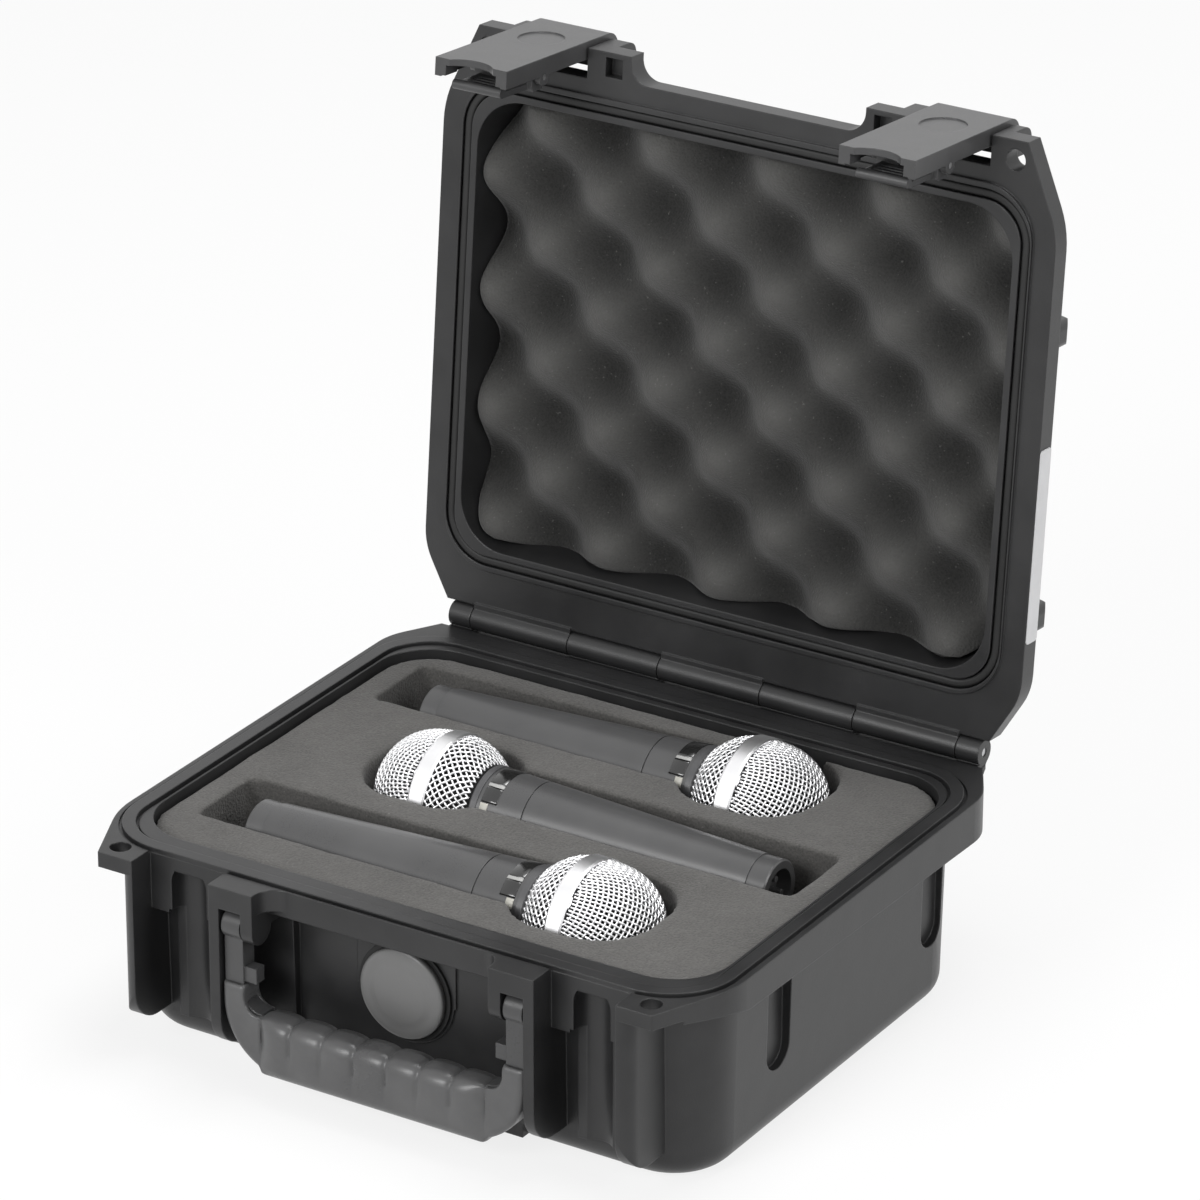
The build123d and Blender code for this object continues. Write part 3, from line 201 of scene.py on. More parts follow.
class Paint(Tree):
    """The node tree of one material."""

    def __init__(self, name: str) -> None:
        """Make an empty material.

        Args:
            name: the material's name.
        """
        self.material = bpy.data.materials.new(name)
        self.material.use_nodes = True
        super().__init__(self.material.node_tree)
        self.nodes.nodes.clear()
        self.place = self.add("ShaderNodeTexCoord").outputs["Object"]

    def stretched(self, scale: Sequence[float]) -> bpy.types.NodeSocket:
        """Object coordinates, scaled along each axis."""
        return self.add("ShaderNodeVectorMath", {"operation": "MULTIPLY"},
                        {0: self.place, 1: scale}).outputs[0]

    def noise(self, size: float, detail: float = 2.0, rough: float = 0.5,
              vector: bpy.types.NodeSocket | None = None) -> Value:
        """Smooth random values.

        Args:
            size: the width of a blotch, in millimetres.
            detail: how many finer layers are added.
            rough: how strong those layers are.
            vector: coordinates in place of the object's own.

        Returns:
            Values round 0.5.
        """
        made = self.add("ShaderNodeTexNoise", inputs={
            "Vector": vector or self.place, "Scale": 1 / (size * MM),
            "Detail": detail, "Roughness": rough})
        return self.value(made, 0)

    def cells(self, size: float) -> Value:
        """Distance from the nearest of many scattered points, size millimetres apart."""
        made = self.add("ShaderNodeTexVoronoi", {"feature": "F1"},
                        {"Vector": self.place, "Scale": 1 / (size * MM)})
        return self.value(made, "Distance")

    def mix(self, factor: Any, first: Any, second: Any) -> bpy.types.NodeSocket:
        """Blend two colours.

        Args:
            factor: 0 gives the first and 1 the second.
            first: a colour or a colour socket.
            second: a colour or a colour socket.

        Returns:
            The colour socket.
        """
        pick = [(*c, 1.0) if isinstance(c, tuple) else c for c in (first, second)]
        node = self.add("ShaderNodeMix", {"data_type": "RGBA"}, {0: factor, 6: pick[0], 7: pick[1]})
        return node.outputs[2]

    def bump(self, height: Value, depth: float,
             under: bpy.types.NodeSocket | None = None) -> bpy.types.NodeSocket:
        """A Bump node.

        Args:
            height: the pattern, from 0 to 1.
            depth: what 1 stands for, in millimetres.
            under: the normal beneath it.

        Returns:
            The normal socket.
        """
        inputs: dict[str | int, Any] = {"Height": height, "Distance": depth * MM, "Strength": 1.0}
        if under is not None:
            inputs["Normal"] = under
        return self.add("ShaderNodeBump", inputs=inputs).outputs[0]

    def soft_edges(self, radius: float) -> bpy.types.NodeSocket:
        """Normals that round every sharp edge by a radius in millimetres."""
        return self.add("ShaderNodeBevel", {"samples": 4}, {"Radius": radius * MM}).outputs[0]

    def edge_mask(self, normal: bpy.types.NodeSocket) -> Value:
        """1 along the edges that soft_edges has rounded, 0 on plain faces."""
        true = self.add("ShaderNodeNewGeometry").outputs["Normal"]
        dot = self.add("ShaderNodeVectorMath", {"operation": "DOT_PRODUCT"}, {0: normal, 1: true})
        return (1.0 - self.value(dot, "Value")).span(0.02, 0.22)

    def finish(self, colour: Any, roughness: Any, normal: bpy.types.NodeSocket | None = None,
               **others: Any) -> bpy.types.Material:
        """Close the material with its surface shader.

        Args:
            colour: base colour or colour socket.
            roughness: number or Value.
            normal: the normal socket.
            others: further shader inputs, with _ for each blank.

        Returns:
            The material.
        """
        base = (*colour, 1.0) if isinstance(colour, tuple) else colour
        inputs: dict[str | int, Any] = {"Base Color": base, "Roughness": roughness}
        if normal is not None:
            inputs["Normal"] = normal
        inputs.update({key.replace("_", " "): given for key, given in others.items()})
        shader = self.add("ShaderNodeBsdfPrincipled", inputs=inputs)
        self.add("ShaderNodeOutputMaterial", inputs={"Surface": shader.outputs[0]})
        return self.material


class Grower(Tree):
    """A Geometry Nodes tree with named inputs."""

    def __init__(self, name: str) -> None:
        """Make an empty tree that gives geometry."""
        super().__init__(bpy.data.node_groups.new(name, "GeometryNodeTree"))
        self.nodes.interface.new_socket(
            "Geometry", in_out="OUTPUT", socket_type="NodeSocketGeometry")
        self.start = self.add("NodeGroupInput")
        self.given: dict[str, Any] = {}

    def number(self, name: str, amount: float) -> Value:
        """A named input that holds a length or a plain number."""
        return self._input(name, amount, "NodeSocketFloat")

    def count(self, name: str, amount: int) -> Value:
        """A named input that holds a whole number."""
        return self._input(name, amount, "NodeSocketInt")

    def _input(self, name: str, amount: float | int, kind: str) -> Value:
        """Add an input and remember what it is to be set to."""
        socket = self.nodes.interface.new_socket(name, in_out="INPUT", socket_type=kind)
        self.given[socket.identifier] = amount
        return Value(self, self.start.outputs[name])

    def join(self, *shapes: bpy.types.NodeSocket) -> bpy.types.NodeSocket:
        """All the shapes together."""
        node = self.add("GeometryNodeJoinGeometry")
        for shape in shapes:
            self.nodes.links.new(shape, node.inputs[0])
        return node.outputs[0]

    def moved(self, shape: Any, position: Any) -> bpy.types.NodeSocket:
        """The shape with each point put at a new position."""
        inputs = {"Geometry": shape, "Position": position}
        return self.add("GeometryNodeSetPosition", inputs=inputs).outputs[0]

    def smooth(self, shape: Any) -> bpy.types.NodeSocket:
        """The shape with smooth shading."""
        inputs = {0: shape, "Shade Smooth": True}
        return self.add("GeometryNodeSetShadeSmooth", inputs=inputs).outputs[0]

    def place(self) -> tuple[Value, Value, Value]:
        """The x, y and z of each point."""
        return self.parts(self.add("GeometryNodeInputPosition").outputs[0])

    def grow(self, name: str, shape: Any, material: bpy.types.Material) -> bpy.types.Object:
        """Close the tree, run it and keep the plain mesh.

        Args:
            name: the piece's name.
            shape: the geometry socket to give.
            material: its finish.

        Returns:
            The mesh object, with no modifier left.
        """
        real = self.add("GeometryNodeRealizeInstances", inputs={0: shape}).outputs[0]
        dressed = self.add("GeometryNodeSetMaterial",
                           inputs={"Geometry": real, "Material": material})
        self.add("NodeGroupOutput", inputs={0: dressed.outputs[0]})
        carrier = bpy.data.objects.new(name + "_carrier", bpy.data.meshes.new(name + "_carrier"))
        bpy.context.scene.collection.objects.link(carrier)
        modifier = carrier.modifiers.new("grow", "NODES")
        modifier.node_group = self.nodes
        for identifier, amount in self.given.items():
            modifier[identifier] = amount
        mesh = plain_mesh(carrier)
        bpy.data.objects.remove(carrier)
        return piece(name, mesh, material)


# ---------------------------------------------------------------- mesh helpers
def plain_mesh(source: bpy.types.Object) -> bpy.types.Mesh:
    """The object's mesh with all its modifiers applied."""
    graph = bpy.context.evaluated_depsgraph_get()
    graph.update()
    return bpy.data.meshes.new_from_object(source.evaluated_get(graph))


def piece(name: str, mesh: bpy.types.Mesh,
          material: bpy.types.Material | None = None) -> bpy.types.Object:
    """Link a mesh into the scene as one piece.

    Args:
        name: the piece's name.
        mesh: its mesh, with its place in it.
        material: its finish, in place of any it has.

    Returns:
        The object.
    """
    made = bpy.data.objects.new(name, mesh)
    mesh.name = name
    bpy.context.scene.collection.objects.link(made)
    if material is not None:
        mesh.materials.clear()
        mesh.materials.append(material)
    return made


def from_bmesh(name: str, shape: bmesh.types.BMesh,
               material: bpy.types.Material) -> bpy.types.Object:
    """Close a bmesh, with its doubles merged and its faces outward, as a smooth piece."""
    bmesh.ops.remove_doubles(shape, verts=shape.verts, dist=SAME_POINT)
    bmesh.ops.recalc_face_normals(shape, faces=shape.faces)
    for face in shape.faces:
        face.smooth = True
    mesh = bpy.data.meshes.new(name)
    shape.to_mesh(mesh)
    shape.free()
    return piece(name, mesh, material)


def held(share: float) -> float:
    """The share, held between 0 and 1."""
    return min(max(share, 0.0), 1.0)


def turned_points(profile: Iterable[tuple[float, float]], steps: int,
                  first: float = 0.0, last: float = 360.0) -> bmesh.types.BMesh:
    """A surface turned about X.

    Args:
        profile: (x, radius) points in millimetres.
        steps: how many faces go round.
        first: where the turn starts, in degrees.
        last: where it ends.

    Returns:
        The bmesh, open or closed as the profile is.
    """
    shape = bmesh.new()
    whole = abs(last - first) == 360
    rings = []
    for x, radius in profile:
        ring = []
        for step in range(steps if whole else steps + 1):
            turn = math.radians(first + (last - first) * step / steps)
            place = (x * MM, radius * math.cos(turn) * MM, radius * math.sin(turn) * MM)
            ring.append(shape.verts.new(place))
        rings.append(ring)
    for low, high in zip(rings, rings[1:]):
        for step in range(steps):
            after = (step + 1) % len(low)
            shape.faces.new((low[step], low[after], high[after], high[step]))
    bmesh.ops.remove_doubles(shape, verts=shape.verts, dist=SAME_POINT)
    return shape


def merged_copy(node: str) -> bpy.types.Mesh:
    """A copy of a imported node's mesh with its loose triangles joined up."""
    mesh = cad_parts[node].data.copy()
    shape = bmesh.new()
    shape.from_mesh(mesh)
    bmesh.ops.remove_doubles(shape, verts=shape.verts, dist=CAD_SAME_POINT)
    shape.to_mesh(mesh)
    shape.free()
    mesh.materials.clear()
    return mesh


def remeshed(node: str, voxel: float, rounds: int) -> bpy.types.Mesh:
    """An even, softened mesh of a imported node.

    Args:
        node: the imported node.
        voxel: the size of its faces.
        rounds: how often it is smoothed.

    Returns:
        The mesh.
    """
    carrier = piece(node + "_carrier", merged_copy(node))
    remesh = carrier.modifiers.new("remesh", "REMESH")
    remesh.mode, remesh.voxel_size, remesh.use_smooth_shade = "VOXEL", voxel * MM, True
    smooth = carrier.modifiers.new("smooth", "SMOOTH")
    smooth.factor, smooth.iterations = 0.5, rounds
    mesh = plain_mesh(carrier)
    bpy.data.objects.remove(carrier)
    return mesh


def dress(names: Iterable[str], material: bpy.types.Material) -> None:
    """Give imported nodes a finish."""
    for name in names:
        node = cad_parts[name]
        node.data.materials.clear()
        node.data.materials.append(material)
        log.info("dressed %s in %s", name, material.name)


# ---------------------------------------------------------------- finishes
@dataclass(frozen=True)
class Moulded:
    """Moulded plastic: a fine sparked grain, soft edges and slightly rubbed corners."""

    name: str
    colour: Colour
    rubbed: Colour
    roughness: float = 0.5
    grain: float = 0.55
    depth: float = 0.05
    edge: float = 0.8
    wear: float = 0.35
    blotch: float = 38.0
    scuff: float = 9.0
    ripple: float = 14.0
    ripple_depth: float = 0.12

    def material(self) -> bpy.types.Material:
        """Build the finish."""
        paint = Paint(self.name)
        soft = paint.soft_edges(self.edge)
        edge = paint.edge_mask(soft)
        blotch = paint.noise(self.blotch, 3, 0.55)
        fine = paint.noise(self.grain, 2, 0.6)
        scuff = paint.noise(self.scuff, 4, 0.7).span(0.56, 0.72)
        worn = (edge * self.wear * (0.4 + blotch) + scuff * 0.05).at_most(1.0)
        shade = paint.mix(blotch.span(0.35, 0.7) * 0.25, self.colour, self.rubbed)
        colour = paint.mix(worn, shade, self.rubbed)
        rough = self.roughness + (blotch - 0.5) * 0.16 + (fine - 0.5) * 0.12 - edge * 0.06
        normal = paint.bump(fine, self.depth, soft)
        normal = paint.bump(paint.noise(self.ripple, 1, 0.4), self.ripple_depth, normal)
        return paint.finish(colour, rough, normal, Specular_IOR_Level=0.45)


@dataclass(frozen=True)
class Rubber:
    """Dull rubber with a faint bloom."""

    name: str
    colour: Colour
    bloom: Colour
    roughness: float = 0.62
    edge: float = 0.6
    haze: float = 22.0
    grain: float = 0.5
    depth: float = 0.04

    def material(self) -> bpy.types.Material:
        """Build the finish."""
        paint = Paint(self.name)
        soft = paint.soft_edges(self.edge)
        haze = paint.noise(self.haze, 4, 0.6)
        fine = paint.noise(self.grain, 2, 0.6)
        colour = paint.mix(haze.span(0.4, 0.75) * 0.6, self.colour, self.bloom)
        rough = self.roughness + (haze - 0.5) * 0.2
        normal = paint.bump(fine, self.depth, soft)
        return paint.finish(colour, rough, normal, Specular_IOR_Level=0.4)


@dataclass(frozen=True)
class Metal:
    """Bare or plated metal with fine drawn lines along X."""

    name: str
    colour: Colour
    dull: Colour
    roughness: float = 0.3
    edge: float = 0.15
    line: float = 1.0
    fineness: float = 9.0
    line_depth: float = 0.006
    haze: float = 6.0

    def material(self) -> bpy.types.Material:
        """Build the finish."""
        paint = Paint(self.name)
        soft = paint.soft_edges(self.edge)
        lines = paint.noise(self.line, 3, 0.6, paint.stretched((1.0, self.fineness, self.fineness)))
        haze = paint.noise(self.haze, 3, 0.6)
        colour = paint.mix(haze.span(0.35, 0.8) * 0.5, self.colour, self.dull)
        rough = self.roughness + (lines - 0.5) * 0.14 + (haze - 0.5) * 0.1
        return paint.finish(colour, rough, paint.bump(lines, self.line_depth, soft), Metallic=1.0)


@dataclass(frozen=True)
class Foam:
    """Open-cell foam: fine pores, pale flecks and a soft, uneven tone, and where a height is
    stored, painted light on the peaks and painted shade in the valleys.
    """

    name: str
    deep: Colour
    face: Colour
    cell: float = 1.0
    pore_depth: float = 0.35
    uneven: float = 0.5
    # names the stored attribute that paints light on the peaks and shade in the valleys
    peak_light_attribute: str = ""
    cloud: float = 26.0
    hollow: float = 9.0
    hollow_depth: float = 0.5
    fleck_gain: float = 1.9

    def material(self) -> bpy.types.Material:
        """Build the finish."""
        paint = Paint(self.name)
        cloud = paint.noise(self.cloud, 3, 0.6)
        fine = paint.noise(self.cell * 0.8, 3, 0.7)
        pores = paint.cells(self.cell).span(0.0, 0.75)
        fleck = paint.noise(self.cell * 1.1, 1, 0.4).span(0.71, 0.78)
        tone = (cloud - 0.5) * self.uneven + 0.5 + (fine - 0.5) * 1.1 + (pores - 0.5) * 0.35
        # Painted light and shade: the stored peaks make the colour lighter on top and darker in the
        # valleys.
        if self.peak_light_attribute:
            height = paint.add("ShaderNodeAttribute", {"attribute_name": self.peak_light_attribute})
            tone = tone * 0.3 + paint.value(height, "Fac") * 0.7
        colour = paint.mix(tone.span(0.05, 0.95), self.deep, self.face)
        pale = tuple(min(channel * self.fleck_gain, 1.0) for channel in self.face)
        colour = paint.mix(fleck * 0.45, colour, pale)
        normal = paint.bump(fine * 0.5 + pores * 0.5, self.pore_depth)
        normal = paint.bump(paint.noise(self.hollow, 2, 0.5), self.hollow_depth, normal)
        return paint.finish(colour, 0.95 + (fine - 0.5) * 0.08, normal,
                            Specular_IOR_Level=0.15, Sheen_Weight=0.15, Sheen_Roughness=0.6)


@dataclass(frozen=True)
class Lacquer:
    """Satin or gloss paint on a turned tube."""

    name: str
    colour: Colour
    light: Colour
    roughness: float = 0.42
    grain: float = 0.35
    depth: float = 0.012
    coat: float = 0.0
    edge: float = 0.25
    haze: float = 30.0

    def material(self) -> bpy.types.Material:
        """Build the finish."""
        paint = Paint(self.name)
        soft = paint.soft_edges(self.edge)
        fine = paint.noise(self.grain, 2, 0.6)
        haze = paint.noise(self.haze, 3, 0.6)
        colour = paint.mix(haze.span(0.3, 0.8) * 0.5 + (fine - 0.5) * 0.3, self.colour, self.light)
        rough = self.roughness + (haze - 0.5) * 0.12 + (fine - 0.5) * 0.1
        return paint.finish(colour, rough, paint.bump(fine, self.depth, soft),
                            Coat_Weight=self.coat, Coat_Roughness=0.15)


@dataclass(frozen=True)
class Film:
    """A printed-stock label or membrane: smooth, pale and faintly mottled."""

    name: str
    colour: Colour
    shade: Colour
    roughness: float = 0.45
    haze: float = 12.0
    fibre: float = 0.7
    depth: float = 0.008
    edge: float = 0.2

    def material(self) -> bpy.types.Material:
        """Build the finish."""
        paint = Paint(self.name)
        haze = paint.noise(self.haze, 3, 0.6)
        fibre = paint.noise(self.fibre, 2, 0.6)
        colour = paint.mix(haze.span(0.4, 0.8) * 0.5, self.colour, self.shade)
        return paint.finish(colour, self.roughness + (haze - 0.5) * 0.2,
                            paint.bump(fibre, self.depth, paint.soft_edges(self.edge)))


# Each finish's material, once it has been asked for.
MADE: dict[str, bpy.types.Material] = {}


class Finish(Enum):
    """The finishes that the pieces choose from."""

    SHELL = Moulded("shell_plastic", (0.014, 0.014, 0.0145), (0.065, 0.065, 0.066), 0.36)
    LATCH = Moulded("latch_satin", (0.052, 0.052, 0.053), (0.120, 0.120, 0.122), 0.34,
                    depth=0.03, edge=0.6)
    HANDLE = Moulded("handle_satin", (0.055, 0.055, 0.056), (0.120, 0.120, 0.121), 0.32,
                     depth=0.03)
    VALVE = Moulded("valve_satin", (0.150, 0.150, 0.149), (0.220, 0.220, 0.219), 0.34,
                    depth=0.02, edge=0.5)
    SLEEVE = Rubber("sleeve_rubber", (0.085, 0.085, 0.086), (0.130, 0.130, 0.131), 0.30)
    SEAL = Rubber("seal_black", (0.010, 0.010, 0.010), (0.025, 0.025, 0.025), 0.55)
    PIN = Metal("drawn_steel", (0.56, 0.56, 0.57), (0.34, 0.34, 0.35), 0.34)
    BAND = Metal("bright_band", (0.84, 0.84, 0.85), (0.70, 0.70, 0.71), 0.36, 0.3)
    WEAVE = Metal("bright_weave", (0.82, 0.82, 0.83), (0.66, 0.66, 0.67), 0.38, 0.05)
    CAPSULE = Metal("capsule_metal", (0.45, 0.45, 0.46), (0.30, 0.30, 0.31), 0.40)
    FOAM = Foam("block_foam", (0.050, 0.049, 0.047), (0.128, 0.124, 0.118))
    # Egg foam: its dark colour is painted shade in the valleys and its pale colour painted light on
    # the peaks, over its own uneven tone.
    LID_FOAM = Foam("egg_foam", (0.016, 0.016, 0.0155), (0.098, 0.097, 0.093), peak_light_attribute="lift")
    LINER = Foam("grille_liner", (0.006, 0.006, 0.006), (0.022, 0.022, 0.022), 0.7, 0.2)
    BODY = Lacquer("microphone_lacquer", (0.070, 0.070, 0.071), (0.110, 0.110, 0.111), 0.30)
    COLLAR = Lacquer("collar_lacquer", (0.075, 0.075, 0.078), (0.110, 0.110, 0.113), 0.34)
    STRIP = Lacquer("neck_strip", (0.012, 0.012, 0.012), (0.022, 0.022, 0.022), 0.16, coat=0.6)
    STRIPE = Lacquer("neck_stripe", (0.40, 0.40, 0.39), (0.50, 0.50, 0.49), 0.4)
    TAB = Lacquer("neck_tab", (0.48, 0.47, 0.42), (0.56, 0.55, 0.50), 0.45)
    LABEL = Film("blank_label", (0.66, 0.66, 0.67), (0.60, 0.60, 0.61))
    MEMBRANE = Film("vent_sheet", (0.78, 0.78, 0.76), (0.68, 0.68, 0.66), 0.7)

    def made(self) -> bpy.types.Material:
        """The finish's material, built the first time it is asked for."""
        if self.name not in MADE:
            MADE[self.name] = self.value.material()
        return MADE[self.name]


class Side(Enum):
    """The two sides of the case."""

    LEFT = "left"
    RIGHT = "right"


# ---------------------------------------------------------------- sub-assemblies
@dataclass
class Shells:
    """The moulded base and lid, their seal, hinge pin and blank label."""

    shells: tuple[str, ...] = ("base_shell", "lid_shell")

    def build(self) -> None:
        """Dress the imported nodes."""
        dress(self.shells, Finish.SHELL.made())
        dress(("lid_gasket",), Finish.SEAL.made())
        dress(("hinge_pin",), Finish.PIN.made())
        dress(("lid_label",), Finish.LABEL.made())


@dataclass
class Latch:
    """One over-centre latch: cover, trigger, their pins and the trigger's spring."""

    side: Side

    def build(self) -> None:
        """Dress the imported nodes."""
        name = self.side.value
        dress((f"latch_cover_{name}", f"trigger_lever_{name}"), Finish.LATCH.made())
        steel = (f"latch_pin_{name}", f"trigger_pin_{name}", f"trigger_spring_{name}")
        dress(steel, Finish.PIN.made())


@dataclass
class Handle:
    """The swinging handle: frame, two pins and a soft sleeve with a row of swells."""

    length: float = 96.0
    swells: int = 7
    depth: float = 1.4              # of the rings between the swells
    voxel: float = 0.7
    rounds: int = 3
    smooth_below: float = 13.0      # the height under which there are no rings
    full_above: float = 22.0        # the height over which they have their full depth
    bar_top: float = 33.5           # the height where the arms start
    corner_front: float = -115.5    # y of the flat front at both ends
    blend_from: float = 36.0        # x from which the front flattens

    def build(self) -> None:
        """Build the sleeve and dress the rest."""
        dress(("handle_frame",), Finish.HANDLE.made())
        dress(("handle_pin_left", "handle_pin_right"), Finish.PIN.made())
        sleeve = self.sleeve()
        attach(sleeve, "handle")
        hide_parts("handle_grip")
        log.info("built %s with %d faces", sleeve.name, len(sleeve.data.polygons))

    def sleeve(self) -> bpy.types.Object:
        """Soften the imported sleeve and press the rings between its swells.

        Returns:
            The sleeve.
        """
        mesh = remeshed("handle_grip", self.voxel, self.rounds)
        half = self.length / 2
        inward = [vertex.normal * -MM for vertex in mesh.vertices]
        for vertex, step in zip(mesh.vertices, inward):
            x, y, z = vertex.co / MM
            over = held((abs(x) - self.blend_from) / (half - self.blend_from))
            if y < self.corner_front:
                flat = (y - self.corner_front) * (1 - over * over)
                vertex.co.y = (self.corner_front + flat) * MM
            if abs(x) < half and z < self.bar_top:
                share = (x * self.swells / self.length + 0.5) % 1.0
                swell = math.sqrt(max(1 - (2 * share - 1) ** 2, 0.0))
                upper = held((z - self.smooth_below) / (self.full_above - self.smooth_below))
                step.x = 0.0
                vertex.co += step * (self.depth * (1 - swell) * upper)
        return piece("handle_sleeve", mesh, Finish.SLEEVE.made())


@dataclass
class Valve:
    """The pressure valve in the base's front: a domed cap over seal, body, nut and membrane."""

    height: float = 46.0
    face: float = -93.4
    radius: float = 17.6
    thick: float = 3.8
    crown: float = 0.9
    crown_share: float = 0.9
    groove: float = 0.35
    groove_from: float = 0.80
    groove_to: float = 0.90
    shoulder: float = 2.2
    shoulder_rise: float = 1.1
    foot: float = 0.3
    foot_rise: float = 0.25
    shoulder_steps: int = 6
    face_steps: int = 12
    around: int = 96

    def build(self) -> None:
        """Build the cap and dress the rest."""
        dress(("valve_body", "valve_nut"), Finish.VALVE.made())
        dress(("valve_seal",), Finish.SEAL.made())
        dress(("valve_membrane",), Finish.MEMBRANE.made())
        cap = self.cap()
        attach(cap, "base")
        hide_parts("valve_cap")

    def cap(self) -> bpy.types.Object:
        """Turn the cap's crowned face, shoulder and shallow ring.

        Returns:
            The cap, facing -Y.
        """
        rim = self.thick - self.crown - self.shoulder_rise
        flat = self.radius - self.shoulder
        profile = [(0.0, 0.0), (0.0, self.radius - self.foot),
                   (self.foot_rise, self.radius), (rim, self.radius)]
        for step in range(1, self.shoulder_steps + 1):
            turn = math.pi / 2 * step / self.shoulder_steps
            profile.append((rim + self.shoulder_rise * math.sin(turn),
                            flat + self.shoulder * math.cos(turn)))
        for step in range(1, self.face_steps + 1):
            reach = 1 - step / self.face_steps
            lift = self.crown * (1 - reach ** 2) * self.crown_share
            ring = self.groove if self.groove_from < reach < self.groove_to else 0.0
            profile.append((rim + self.shoulder_rise + lift - ring, flat * reach))
        shape = turned_points(profile, self.around)
        place = Matrix.Translation((0, self.face * MM, self.height * MM))
        turned = place @ Matrix.Rotation(math.radians(-90), 4, "Z")
        bmesh.ops.transform(shape, matrix=turned, verts=shape.verts)
        made = from_bmesh("valve_cap_domed", shape, Finish.VALVE.made())
        log.info("built %s", made.name)
        return made


@dataclass
class BaseFoam:
    """The cut foam block and its floor sheet, as soft open-cell foam."""

    voxel: float = 1.7
    floor_voxel: float = 4.0
    rounds: int = 2
    shrink: float = 0.15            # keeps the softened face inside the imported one
    wave: float = 0.28              # height of the unevenness
    long_wave: float = 17.0
    short_wave: float = 6.0

    def build(self) -> None:
        """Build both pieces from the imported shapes."""
        for node, voxel in (("base_foam", self.voxel), ("foam_floor", self.floor_voxel)):
            made = self.softened(node, voxel)
            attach(made, "base")
            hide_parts(node)
            log.info("built %s with %d faces", made.name, len(made.data.polygons))

    def softened(self, node: str, voxel: float) -> bpy.types.Object:
        """Remesh a foam solid so that its cut edges are soft and slightly uneven.

        Args:
            node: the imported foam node.
            voxel: the remesh size.

        Returns:
            The soft piece.
        """
        mesh = remeshed(node, voxel, self.rounds)
        inward = [vertex.normal * (-self.shrink * MM) for vertex in mesh.vertices]
        for vertex, step in zip(mesh.vertices, inward):
            wander = (noise.noise_vector(vertex.co / (self.long_wave * MM))
                      + 0.5 * noise.noise_vector(vertex.co / (self.short_wave * MM)))
            vertex.co += wander * self.wave * MM + step
        return piece(node + "_soft", mesh, Finish.FOAM.made())


